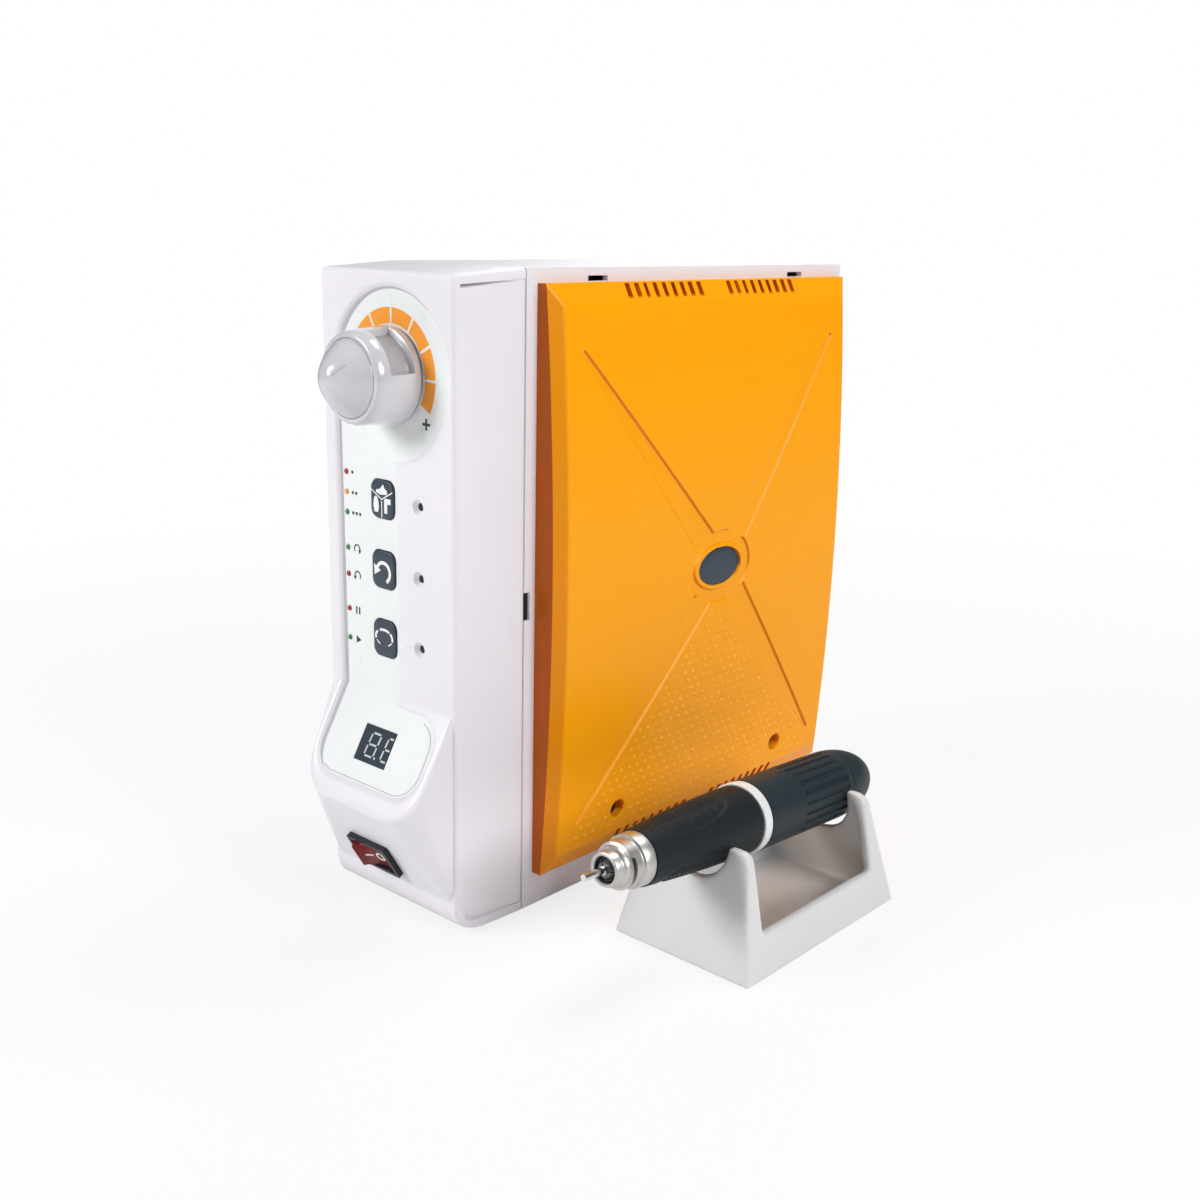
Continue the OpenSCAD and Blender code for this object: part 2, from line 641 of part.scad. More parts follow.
module led() {
  rod(led_d / 2, -front_t - 1, -label_depth + 0.3);
  rod(led_d / 2 + 0.4, -board_y, -front_t - 1 + eps);
}
module leds_red() color("darkred") set_down() at_leds(red_leds) led();
module leds_green() color("green") set_down() at_leds(green_leds) led();
module led_amber() color("sandybrown") set_down() at_leds(amber_leds) led();

// Control electronics behind the front face
module control_board() color("darkgreen") set_down() difference() {
  block([max(led_x - 3, key_gap - cavity_half), board_y, key_z[2] - 14],
    [min(trim_x + 5, cavity_half - key_gap), board_y + pcb_t, key_z[0] + 14]);
  at_board_posts() on_front(0, 0) rod(screw_d / 2 + fit, -board_y - pcb_t - cut, 0);
}
module key_switches() color("dimgray") set_down() at_keys() slab(6, 6, -board_y, switch_h - board_y);
module trim_pots() color("royalblue") set_down() at_trims() {
  slab(6.5, 6.5, -board_y, 5 - board_y);
  rod(1.4, 5 - board_y - eps, 7 - board_y);
}
module potentiometer() color("silver") set_down() at_dial() difference() {
  union() {
    rod(pot_r, -front_t - pot_deep, -front_t);
    rod(bush_r, -front_t - eps, 0.8 - label_back + 2);
  }
  rod(shaft_d / 2 + run_gap, 1.5 - front_t - pot_deep, 2.8 - label_back + cut);
}
module pot_nut() color("silver") set_down() at_dial() difference() {
  translate([0, 0, -label_back]) cylinder(r = nut_r, h = 2, $fn = 6);
  rod(bush_r + fit, -label_back - cut, cut);
}

// Knob and its shaft
module pocket() intersection() {
  difference() {
    circle(r = knob_r + cut);
    circle(r = knob_r - 1.9);
  }
  polygon([[0, 0], [2 * knob_r, -1.45 * knob_r], [2 * knob_r, 1.45 * knob_r]]);
}
module knob_body() color("white") set_down() at_dial() difference() {
  rotate_extrude() polygon([[0, knob_gap - label_depth], [knob_r, knob_gap - label_depth], [knob_r, 0],
    [knob_r - 0.9, knob_skirt], [knob_r - 1.4, knob_skirt + 0.4], [knob_r - 2.4, knob_top - 1.2],
    [cap_d / 2 + 1.2, knob_top], [0, knob_top]]);
  pipe(shaft_d / 2 + 2.5, knob_r - 5, -label_back, knob_skirt - 2.5);
  rod(shaft_d / 2 + 3, -label_back, 3.8 - label_back);
  rod(shaft_d / 2, -label_back, shaft_end);
  for (a = [0, 180]) rotate([0, 0, pointer_angle + a]) translate([0, 0, pocket_low])
    linear_extrude(knob_skirt - 0.4 - pocket_low) pocket();
}
module knob_cap() color("white") set_down() at_dial() {
  rotate_extrude() polygon(concat([[0, knob_top]],
    [for (i = [0:14]) let (t = 1 - i / 14) [cap_d / 2 * t, knob_top + cap_h * (1 - t * t)]]));
  rotate([0, 0, pointer_angle]) translate([cap_d / 2 * 0.6, 0, knob_top + cap_h * 0.64])
    rotate([0, 42, 0]) slab(5, 1.2, -1, 0.6);
}
module pot_shaft() color("silver") set_down() at_dial() rod(shaft_d / 2, 2 - front_t - pot_deep, shaft_end);

// Keys
module key(i) on_front(key_x, key_z[i]) {
  pad(key_w, key_h, key_r, -front_t - key_gap - eps, key_proud - label_depth);
  pad(key_w + 2, key_h + 2, key_r, -front_t - key_gap - key_flange, -front_t - key_gap);
  rod(1.8, switch_h - board_y + key_travel + 0.3, -front_t - key_gap - key_flange + eps);
}
module mode_key() color("darkslategray") set_down() key(0);
module direction_key() color("darkslategray") set_down() key(1);
module cruise_key() color("darkslategray") set_down() key(2);

// Power switch
module switch_housing() color("black") set_down() at_switch() difference() {
  union() {
    pad(bezel_w, bezel_h, 1, 0, bezel_t);
    slab(bezel_w - 1.6, bezel_h - 1.6, -14, eps);
  }
  slab(rock_w + 2 * rock_gap, rock_h + 2 * rock_gap, -7, bezel_t + cut);
  translate([0, bezel_h, pivot_z]) rotate([90, 0, 0]) rod(pivot_r + run_gap, 0, 2 * bezel_h);
}
module rocker() color("darkred") set_down() at_switch()
  translate([0, 0, pivot_z]) rotate([0, rock_angle, 0]) {
  translate([0, rock_h / 2, 0]) rotate([90, 0, 0]) linear_extrude(rock_h) polygon([
    [1.2 - rock_w / 2, bezel_t + 2.3], [0, bezel_t + 0.7], [rock_w / 2 - 1.2, bezel_t + 2.3],
    [rock_w / 2 - 0.2, 1], [rock_w / 2 - 2.5, -2], [2.5 - rock_w / 2, -2], [0.2 - rock_w / 2, 1]]);
  rotate([90, 0, 0]) rod(pivot_r, -rock_h / 2 - rock_gap - 0.4, rock_h / 2 + rock_gap + 0.4);
}

// Back panel
module mains_inlet() color("black") set_down() on_back(0, inlet_z) {
  difference() {
    union() {
      pad(inlet_w + 4, inlet_h + 4, 2, 0, flange_t);
      slab(inlet_w, inlet_h, -inlet_depth, eps);
    }
    pad(inlet_w - 3, inlet_h - 4, 2, 2 - inlet_depth, flange_t + cut);
  }
  for (p = [[-7, -2], [0, 2.5], [7, -2]]) translate(p) slab(2, 4, 1 - inlet_depth, 11 - inlet_depth);
}
module handpiece_socket() color("silver") set_down() on_back(0, socket_z) {
  difference() {
    union() {
      rod(socket_d / 2 + 2, 0, flange_t);
      rod(socket_d / 2, 0, socket_out);
      rod(socket_d / 2 - 1, -18, eps);
    }
    rod(socket_d / 2 - 2, 0, socket_out + cut);
    rod(socket_d / 2 - 3.2, -12, socket_out);
  }
  for (a = [30, 150, 270]) rotate([0, 0, a]) translate([2.8, 0, 0]) rod(0.9, -12 - eps, -3);
}
module pedal_jack() color("silver") set_down() on_back(0, jack_z) difference() {
  union() {
    translate([0, 0, 0]) cylinder(r = jack_bore_d / 2 + 4, h = flange_t, $fn = 6);
    rod(jack_bore_d / 2 + 1.5, -24, flange_t + 1);
    rod(jack_bore_d / 2 + 4, -24, -wall);
  }
  rod(jack_bore_d / 2, -22, flange_t + 1 + cut);
}

// Power electronics on the floor of the rear shell
module transformer_core() color("gray") set_down()
  translate([core_x, core_y, floor_z + core_h / 2]) difference() {
  cube([core_stack, core_w, core_h], center = true);
  for (s = [-1, 1]) translate([0, s * core_w / 4, 0])
    cube([core_stack + 2 * cut, core_w / 6, core_h - core_w / 3], center = true);
}
module transformer_coil() color("peru") set_down()
  translate([core_x, core_y, floor_z + core_h / 2]) difference() {
  cube([core_stack + 16, core_w * 2 / 3 - 0.4, core_h - core_w / 3 - 0.4], center = true);
  cube([core_stack + 0.2, core_w / 3 + 0.2, core_h], center = true);
}
module transformer_clamp() color("silver") set_down() translate([core_x, core_y, floor_z]) difference() {
  union() {
    block([-7, -core_w / 2 - 1.5, 0], [7, core_w / 2 + 1.5, core_h + 1.5]);
    block([-7, -core_w / 2 - 13, 0], [7, core_w / 2 + 13, 1.5]);
  }
  block([-7 - cut, -core_w / 2, -cut], [7 + cut, core_w / 2, core_h]);
  for (s = [-1, 1]) translate([0, s * (core_w / 2 + 7), 0]) rod(screw_d / 2 + fit, -cut, 1.5 + cut);
}
board_z = floor_z + post_h;
module power_board() color("darkgreen") set_down() difference() {
  block([power_x, power_y, board_z], [power_x + power_w, power_y + power_l, board_z + pcb_t]);
  at_power_posts() rod(screw_d / 2 + fit, 0, board_z + pcb_t + cut);
}
module heat_sink() color("dimgray") set_down() translate([sink_x, sink_y, board_z + pcb_t]) difference() {
  cube([sink_w, sink_l, sink_h]);
  for (i = [0:4]) translate([4, sink_l * (i * 0.18 + 0.07), -cut])
    cube([sink_w, sink_l * 0.12, sink_h + 2 * cut]);
}
module power_transistors() color("black") set_down() for (t = [0.2, 0.6])
  translate([sink_x - 4.6, sink_y + t * sink_l, board_z + pcb_t + 4]) cube([4.6, 10, 16]);
module capacitors() color("navy") set_down() for (t = [0.33, 0.67])
  translate([power_x + cap_can_d / 2 + 4.5, power_y + t * power_l, 0])
    rod(cap_can_d / 2, board_z + pcb_t, board_z + pcb_t + cap_can_h);
module board_screws() color("silver") set_down() {
  at_board_posts() translate([0, board_y + pcb_t, 0]) rotate([-90, 0, 0]) screw(8);
  at_power_posts() translate([0, 0, board_z + pcb_t]) screw(post_h);
  at_clamp_screws() translate([0, 0, floor_z + 1.5]) screw(3);
}
module rubber_feet() color("dimgray") set_down() at_feet() rod(foot_d / 2, 0, shell_z + 1.2);

// Cradle: a leaning tray with notched end plates
horn_lean = atan2(lean_x, horn_h);
horn_c = [cradle_w / 2 - horn_r / cos(horn_lean) - (horn_h - horn_r) * tan(horn_lean), horn_h - horn_r];
module cradle_frustum(t, z0) translate([cradle_x, cradle_y, 0]) intersection() {
  along_y(-cradle_len, cradle_len) polygon([
    for (s = [-1, 1], z = s > 0 ? [z0, horn_h + z0] : [horn_h + z0, z0])
    [s * (cradle_w / 2 - t - lean_x * z / horn_h), z]]);
  along_x(2 * cradle_w) polygon([for (s = [-1, 1], z = s > 0 ? [z0, horn_h + z0] : [horn_h + z0, z0])
    [s * (cradle_len / 2 - t - lean_y * z / horn_h), z]]);
}
module horn_outline() translate([cradle_x, cradle_y, 0]) along_y(-cradle_len, cradle_len) polygon(concat(
  [[-cradle_w / 2, 0], [cradle_w / 2, 0]], arc(horn_c, horn_r, horn_lean, 90),
  arc([-horn_c[0], horn_c[1]], horn_r, 90, 180 - horn_lean)));
plate_at = cradle_len / 2 - lean_y - cradle_t / 2;
module notch(s) on_axis() translate([0, -notch_drop, s * plate_at - 11]) linear_extrude(22) {
  r = hand_r(s * plate_at - 4) + rest_gap;
  circle(r = r);
  translate([-r, 0]) square([2 * r, 16]);
}
module cradle() color("lightgray") set_down() difference() {
  intersection() {
    cradle_frustum(0, 0);
    horn_outline();
  }
  cradle_frustum(cradle_t, tray_t);
  translate([cradle_x - cradle_w, cradle_y - cradle_len / 2 + 13, rail_h])
    cube([2 * cradle_w, cradle_len - 26, horn_h]);
  for (s = [-1, 1]) notch(s);
}

// Handpiece: motor half
module motor_case() color("black") set_down() on_axis() difference() {
  rod(case_r, case_back, case_front);
  rod(case_in, case_back - cut, case_front + cut);
  for (i = [0:groove_n - 1]) rotate([0, 0, i * 360 / groove_n])
    translate([case_r - groove_depth, -0.8, case_back + 2]) cube([groove_depth + cut, 1.6, case_len * 0.56]);
}
module rear_cap() color("black") set_down() on_axis() difference() {
  end_a = acos((port_r + 1) / case_r);
  rotate_extrude() polygon(concat([[0, case_back]],
    [for (i = [0:12]) let (a = end_a * i / 12) [case_r * cos(a), case_back - dome_len * sin(a) / sin(end_a)]],
    [[0, dome_back]]));
  rod(socket_r + 2, case_back - 7, case_back + cut);
  rod(socket_r + fit, case_back - 12, case_back);
  rod(port_r, dome_back - cut, case_back);
}
module cord_socket() color("dimgray") set_down() on_axis() difference() {
  rod(socket_r, case_back - 12, case_back - 6);
  for (a = [30, 150, 270]) rotate([0, 0, a]) translate([port_r / 2, 0, 0])
    rod(0.6, case_back - 12 - cut, case_back - 8);
}
module trim_ring() color("silver") set_down() on_axis()
  pipe(tube_out + fit, ring_d / 2, case_front, ring_front);
module motor_can() color("gray") set_down() on_axis() difference() {
  rod(case_in - fit, case_back, case_front - 5);
  rod(can_in, case_back + 5, case_front);
  rod(seat_r + fit, case_back - cut, case_front);
}
module stator_magnets() color("dimgray") set_down() on_axis()
  translate([0, 0, case_front - 36]) linear_extrude(28)
  for (s = [0, 180]) rotate(s) intersection() {
    difference() {
      circle(r = can_in - fit);
      circle(r = rotor_r + 0.5);
    }
    polygon([[0, 0], [2 * can_in, -3 * can_in], [2 * can_in, 3 * can_in]]);
  }
module brush_holders() color("saddlebrown") set_down() on_axis() for (s = [0, 180]) rotate([0, 0, s])
  translate([0, 0, brush_z]) difference() {
    block([spindle_r + 1, -2.5, -3], [can_in - 0.6, 2.5, 3]);
    block([0, -1.55, -2.05], [can_in, 1.55, 2.05]);
  }
module carbon_brushes() color("black") set_down() on_axis() for (s = [0, 180]) rotate([0, 0, s])
  translate([0, 0, brush_z]) block([spindle_r + 0.3, -1.5, -2], [spindle_r + 3, 1.5, 2]);
module brush_springs() color("gold") set_down() on_axis() for (s = [0, 180]) rotate([0, 0, s])
  translate([spindle_r + 3, 0, brush_z]) rotate([0, 90, 0]) pipe(0.7, 1.3, 0, can_in - spindle_r - 3.7);
module rear_bearing() color("silver") set_down() on_axis()
  pipe(rear_r + run_gap, seat_r, case_back + 0.5, case_back + 4.5);
module front_bearings() color("silver") set_down() on_axis() for (z = [grip_front - 12, grip_back + 8])
  pipe(spindle_r + run_gap, tube_in - fit, z, z + 6);
module spindle_tube() color("gainsboro") set_down() on_axis() difference() {
  union() {
    rod(tube_out, case_front - 5, grip_front - 1);
    rod(case_in - fit, case_front - 5, case_front);
  }
  rod(tube_in, case_front - 5 - cut, grip_front);
}

// Handpiece: twisting front half
module front_sleeve() color("gray") set_down() on_axis() pipe(sleeve_in, sleeve_out, grip_back, grip_front);
module grip_rubber() color("black") set_down() on_axis() rotate_extrude() polygon(concat(
  [[sleeve_out + fit, grip_back]], [for (i = [0:12]) [grip_r(i / 12), grip_back + grip_len * i / 12]],
  [[sleeve_out + fit, grip_front]]));
module nose_cone() color("silver") set_down() on_axis() difference() {
  rotate_extrude() polygon([[0, grip_front], [grip_d_front / 2 - 0.4, grip_front],
    [grip_d_front / 2 - 0.6, grip_front + 5], [grip_d_front / 2 - 1.3, grip_front + 5.4],
    [grip_d_front / 2 - 1.6, nose_front - 6.6], [nose_d / 2 + 1, nose_front - 5.6],
    [nose_d / 2 + 0.4, nose_front - 3.4], [nose_d / 2, nose_front - 3],
    [nose_d / 2, nose_front - 0.8], [nose_d / 2 - 0.8, nose_front], [0, nose_front]]);
  rod(spindle_r + 2.25, grip_front - cut, nose_front - 8);
  rod(nose_bore, grip_front, nose_front + cut);
}
module release_ring() color("silver") set_down() on_axis()
  pipe(spindle_r + 0.3, spindle_r + 2.2, grip_front + 3.2, grip_front + 6);

// Handpiece: spinning parts
module spindle() color("silver") set_down() on_axis() difference() {
  union() {
    rod(spindle_r, case_front - 4, nose_front - 1.5);
    rod(rear_r, case_back + 0.5, case_front);
  }
  rod(collet_r, nose_front - 1.5 - collet_len, nose_front);
}
module collet() color("silver") set_down() on_axis() difference() {
  union() {
    rod(collet_r - fit, nose_front - 1.5 - collet_len, nose_front - 1.5 + eps);
    translate([0, 0, nose_front - 1.5]) cylinder(r1 = collet_r + 0.9, r2 = collet_r, h = 1.2);
  }
  rod(held_r + run_gap, nose_front - collet_len, nose_front + cut);
  for (a = [0, 120, 240]) rotate([0, 0, a])
    translate([0, -0.2, nose_front - 12]) cube([collet_r + 2, 0.4, 14]);
}
module rotor() color("peru") set_down() on_axis()
  pipe(rear_r + fit, rotor_r, case_front - 34, case_front - 10);
module commutator() color("peru") set_down() on_axis()
  pipe(rear_r + fit, spindle_r + 0.2, brush_z - 3.5, brush_z + 3.5);
module tool_shank() color("silver") set_down() on_axis() {
  rod(held_r, nose_front - collet_len + 0.5, nose_front + tip_from);
  rod(shank_r, nose_front, nose_front + shank_out);
}

front_shell();
rear_shell();
side_cover();
cover_badge();
cover_screws();
shell_screws();
control_label();
display_window();
display_module();
leds_red();
leds_green();
led_amber();
control_board();
key_switches();
trim_pots();
potentiometer();
pot_nut();
switch_housing();
mains_inlet();
handpiece_socket();
pedal_jack();
transformer_core();
transformer_coil();
transformer_clamp();
power_board();
heat_sink();
power_transistors();
capacitors();
board_screws();
rubber_feet();
knob_body();
knob_cap();
pot_shaft();
mode_key();
direction_key();
cruise_key();
rocker();
cradle();
motor_case();
rear_cap();
cord_socket();
trim_ring();
motor_can();
stator_magnets();
brush_holders();
carbon_brushes();
brush_springs();
rear_bearing();
front_bearings();
spindle_tube();
front_sleeve();
grip_rubber();
nose_cone();
release_ring();
spindle();
collet();
rotor();
commutator();
tool_shank();
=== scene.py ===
"""Looks of the bench micromotor: control box, motor handpiece and cradle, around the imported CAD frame."""

import json
from math import acos, atan2, cos, hypot, pi, radians, sin, tan, tau

import bmesh
import bpy
import numpy as np
from mathutils import Matrix, Vector
from mathutils.bvhtree import BVHTree


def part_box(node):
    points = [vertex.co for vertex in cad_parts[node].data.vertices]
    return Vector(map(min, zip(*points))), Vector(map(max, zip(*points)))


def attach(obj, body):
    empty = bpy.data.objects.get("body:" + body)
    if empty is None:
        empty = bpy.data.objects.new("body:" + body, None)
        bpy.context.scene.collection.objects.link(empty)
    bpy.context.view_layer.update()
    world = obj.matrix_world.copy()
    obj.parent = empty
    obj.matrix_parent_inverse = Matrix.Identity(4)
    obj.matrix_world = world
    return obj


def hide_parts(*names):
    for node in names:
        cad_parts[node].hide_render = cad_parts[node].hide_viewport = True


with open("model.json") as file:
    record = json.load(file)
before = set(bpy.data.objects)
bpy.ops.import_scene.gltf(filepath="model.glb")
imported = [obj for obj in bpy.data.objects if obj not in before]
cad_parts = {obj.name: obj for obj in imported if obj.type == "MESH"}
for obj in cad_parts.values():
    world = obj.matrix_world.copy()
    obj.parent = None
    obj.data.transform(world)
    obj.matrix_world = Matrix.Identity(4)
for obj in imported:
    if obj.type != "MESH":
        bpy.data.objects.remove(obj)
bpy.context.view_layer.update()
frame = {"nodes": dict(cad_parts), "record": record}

BOX = "control_box"
MM = 0.001
MERGE = 1e-6  # points closer than this, in metres, become one
FINE = 0.2  # spacing of a skin's points on small details

# Sizes in millimetres, in the control box's own frame: x from the middle of the box, y from its front face.
BOX_W, BOX_D, BOX_H = 70.5, 217.0, 230.0
SIDE = BOX_W / 2
SEAM, SEAM_GAP = 31.0, 0.15
DRAFT, CHEEK, RIM, TOE_R, EDGE_R, LIFT = 1.8, 2.0, 3.2, 10.0, 1.6, 1.0
FRONT_HALF, FRONT_TOP = SIDE - DRAFT, BOX_H - DRAFT
CHEEK_LOW, CHEEK_TOP, LEAN_FROM = LIFT + RIM, FRONT_TOP - RIM, 190.0
DIAL_X, DIAL_Z, DIAL_R, DIAL_FLARE = 1.9, 194.3, 29.5, 0.9
STRIP_LEFT, STRIP_W = DIAL_X - DIAL_R, 33.0
LABEL_DEPTH, LABEL_BACK, LABEL_GAP, LABEL_WALL = 1.0, 1.5, 0.2, 2.3
POD_TOP, POD_RIDGE, POD_FOOT, POD_OUT = 81.8, 45.8, 13.0, 20.5
POD_HALF, POD_R, POD_X, POD_LIP, POD_SOFT = 30.9, 15.5, 1.6, 1.6, 2.8
SLOPE = atan2(POD_OUT, POD_TOP - POD_RIDGE)
sin_s, cos_s = sin(SLOPE), cos(SLOPE)
UNDER = atan2(POD_OUT - POD_LIP * cos_s, POD_RIDGE - POD_LIP * sin_s - POD_FOOT)
sin_u, cos_u = sin(UNDER), cos(UNDER)
SLOPE_LEN = POD_OUT / sin_s
PANEL_W, PANEL_H, PANEL_R, PANEL_X, PANEL_RIM = 57.2, 32.6, 12.5, 0.9, 5.5
PANEL_TOP = SLOPE_LEN - POD_LIP - PANEL_RIM - PANEL_H
WINDOW_X, WINDOW_DOWN, WINDOW_W, WINDOW_H, WINDOW_R = 1.1, 18.0, 16.5, 13.3, 0.6
RUN = DIAL_Z - POD_TOP
KEY_X, KEY_W, KEY_H, KEY_R, KEY_PROUD = DIAL_X - 5.0, 11.9, 13.3, 3.2, 0.7
KEY_FIRST, KEY_STEP = 0.378 * RUN, 0.22 * RUN
KEY_Z = [DIAL_Z - KEY_FIRST - i * KEY_STEP for i in range(3)]
LED_X, LED_PITCH = DIAL_X - 24.8, 7.2
MODE_ROWS = [KEY_Z[0] + LED_PITCH, KEY_Z[0], KEY_Z[0] - LED_PITCH]
TURN_ROWS = [KEY_Z[1] + 0.67 * LED_PITCH, KEY_Z[1] - 0.67 * LED_PITCH]
CRUISE_ROWS = [KEY_Z[2] + LED_PITCH, KEY_Z[2] - 0.5 * LED_PITCH]
TRIM_X, DIMPLE_R, TRIM_R = DIAL_X + 13.8, 2.8, 1.0
SWITCH_X, SWITCH_UP, BEZEL_W, BEZEL_H, BEZEL_T = -1.5, 12.5, 21.0, 15.0, 2.0
ROCK_ANGLE, PIVOT_Z = radians(12), -1.5
COVER_Y0, COVER_Y1, COVER_Z0, COVER_Z1 = SEAM + 5, BOX_D - 4, 14.0, BOX_H - 5
COVER_Y, COVER_Z, COVER_HALF = (COVER_Y0 + COVER_Y1) / 2, (COVER_Z0 + COVER_Z1) / 2, (COVER_Z1 - COVER_Z0) / 2
COVER_EDGE, COVER_BULGE, BEVEL_X, BEVEL_Y, BEVEL_Z, ENGRAVE = 4.0, 4.6, 3.0, 5.0, 7.0, 0.8
BADGE_Y, BADGE_Z, BADGE_W, BADGE_H = COVER_Y + 2.6, COVER_Z - 3, 26.0, 15.0
ARM_TIP, ARM_Y = 0.7, (COVER_Y1 - COVER_Y0) / 2 - 13.5
ARM_UP, ARM_DOWN = COVER_HALF - 22.5, 16.5 - COVER_HALF
VENT_N, VENT_W, VENT_PITCH, VENT_OFF, VENT_DEEP = 9, 2.0, 5.0, 29.0, 5.0
VENT_ROWS = ((COVER_Z0 + 3.9, 6.2), (COVER_Z1 - 3.0, 4.9))
COVER_SCREW_OFF, COVER_SCREW_Z = 51.0, COVER_Z0 + 16
DOT_PITCH, DOT_R, DOT_H = 4.6, 0.75, 0.35
KNOB_R, KNOB_SKIRT, KNOB_TOP, KNOB_TAPER, KNOB_GAP = 16.5, 12.2, 16.8, 0.9, 0.7
CAP_R, CAP_H = 12.9, 9.57
POINTER = radians(43)
HAND_AT, TILT = (98.5, 90.0, 41.6), radians(3.6)
RING_FRONT, CASE_FRONT, GRIP_BACK, GRIP_FRONT, NOSE_FRONT = 16.1, 11.9, 16.4, 70.8, 86.3
CASE_BACK, DOME_BACK, CASE_R, PORT_R = -40.1, -63.1, 13.0, 4.5
GRIP_R_BACK, GRIP_R_FRONT, NOSE_R, RING_R = 12.3, 9.6, 6.0, 12.9
MARK_THICK = 0.06

# The camera that the photograph's edges give, in the same frame.
CAMERA_TARGET = (13.829, 94.18, 102.438)
CAMERA_AZ, CAMERA_EL, CAMERA_ROLL, CAMERA_DIST = 41.735, 14.87, 1.27, 553.644
CAMERA_FOCUS_PX, FRAME_PX, SENSOR = 1419.684, 1200, 36.0

rear_low, rear_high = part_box("rear_shell")
ORIGIN = np.array([(rear_low.x + rear_high.x) / 2, rear_low.y - SEAM * MM, 0.0])
BODY_OF = {n: b for b, nodes in frame["record"]["behaviour"]["bodies"].items() for n in nodes}


# Small tools

def metres(points):
    return ORIGIN + np.asarray(points, float).reshape(-1, 3) * MM


def smooth(t):
    t = np.clip(t, 0.0, 1.0)
    return t * t * (3 - 2 * t)


def within(distance, width):
    """0 at an outline and outside it, 1 from width inside it."""
    return smooth(-distance / width)


def sd_rect(x, z, cx, cz, w, h, r=0.0):
    qx, qz = np.abs(x - cx) - w / 2 + r, np.abs(z - cz) - h / 2 + r
    return np.hypot(np.maximum(qx, 0), np.maximum(qz, 0)) + np.minimum(np.maximum(qx, qz), 0) - r


def sd_ellipse(x, z, cx, cz, a, b):
    k = np.hypot((x - cx) / a, (z - cz) / b)
    return (k - 1) * min(a, b)


def sd_polygon(x, z, corners):
    best = np.full(np.shape(x), np.inf)
    odd = np.zeros(np.shape(x), bool)
    for (ax, az), (bx, bz) in zip(corners, corners[1:] + corners[:1]):
        ex, ez = bx - ax, bz - az
        t = np.clip(((x - ax) * ex + (z - az) * ez) / (ex * ex + ez * ez), 0, 1)
        best = np.minimum(best, (x - ax - ex * t) ** 2 + (z - az - ez * t) ** 2)
        crosses = (az > z) != (bz > z)
        if ez:
            odd ^= crosses & (x < ax + ex * (z - az) / ez)
    return np.sqrt(best) * np.where(odd, -1, 1)


def axes(origin, ex, ey, ez):
    """A function that takes points of a local frame to the box's frame."""
    o, m = np.array(origin, float), np.array([ex, ey, ez], float)
    return lambda p: o + np.asarray(p, float).reshape(-1, 3) @ m


def leaning(origin, angle):
    """Axes that look out of the box's front, with the upper end leaning back by an angle."""
    return axes(origin, (1, 0, 0), (0, sin(angle), cos(angle)), (0, -cos(angle), sin(angle)))


on_label = leaning((0, LABEL_DEPTH, 0), 0)
on_slope = leaning((0, 0, POD_TOP), SLOPE)
on_switch = leaning((SWITCH_X, -SWITCH_UP * sin_u, POD_FOOT + SWITCH_UP * cos_u), -UNDER)
on_dial = leaning((DIAL_X, 0, DIAL_Z), 0)
cos_p, sin_p = cos(POINTER), sin(POINTER)
on_pointer = axes((DIAL_X, 0, DIAL_Z), (cos_p, 0, sin_p), (-sin_p, 0, cos_p), (0, -1, 0))
on_hand = leaning(HAND_AT, TILT)
on_side = axes((SIDE, 0, 0), (0, 1, 0), (0, 0, 1), (1, 0, 0))


def grid_faces(rows, cols, close_rows=False, close_cols=False, start=0):
    i = np.arange(rows if close_rows else rows - 1)[:, None]
    j = np.arange(cols if close_cols else cols - 1)[None, :]
    a, b = i * cols + j, i * cols + (j + 1) % cols
    c, d = ((i + 1) % rows) * cols + (j + 1) % cols, ((i + 1) % rows) * cols + j
    return (np.stack([a, b, c, d], -1).reshape(-1, 4) + start).tolist()


def linked(name, data):
    made = bpy.data.objects.new(name, data)
    bpy.context.collection.objects.link(made)
    return made


def piece(name, points, faces, material, body, stands_for=(), sharp=40):
    """A new mesh piece from points in millimetres. It rides on a CAD body and may stand for CAD nodes."""
    mesh = bpy.data.meshes.new(name)
    mesh.from_pydata(metres(points).tolist(), [], faces)
    bm = bmesh.new()
    bm.from_mesh(mesh)
    bmesh.ops.remove_doubles(bm, verts=bm.verts, dist=MERGE)
    bmesh.ops.recalc_face_normals(bm, faces=bm.faces)
    bm.to_mesh(mesh)
    bm.free()
    finish_piece(name, mesh, material, body, stands_for, sharp)


def finish_piece(name, mesh, material, body, stands_for, sharp):
    mesh.polygons.foreach_set("use_smooth", [True] * len(mesh.polygons))
    mesh.set_sharp_from_angle(angle=radians(sharp))
    mesh.materials.clear()
    mesh.materials.append(material)
    made = linked(name, mesh)
    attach(made, body)
    if stands_for:
        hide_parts(*stands_for)
    return made


def dressed(node, material, edge, segments=2):
    """A copy of a CAD node with clean flat faces and rounded edges, which stands for the node."""
    flat_angle, edge_angle = radians(0.6), radians(30)
    bm = bmesh.new()
    bm.from_mesh(frame["nodes"][node].data)
    bmesh.ops.remove_doubles(bm, verts=bm.verts, dist=2 * MERGE)
    bmesh.ops.dissolve_limit(bm, angle_limit=flat_angle, verts=bm.verts, edges=bm.edges)
    bmesh.ops.recalc_face_normals(bm, faces=bm.faces)
    mesh = bpy.data.meshes.new(node + "_look")
    bm.to_mesh(mesh)
    bm.free()
    made = finish_piece(node + "_look", mesh, material, BODY_OF[node], (node,), 35)
    rounding = made.modifiers.new("edges", "BEVEL")
    rounding.width, rounding.segments = edge * MM, segments
    rounding.limit_method, rounding.angle_limit = "ANGLE", edge_angle


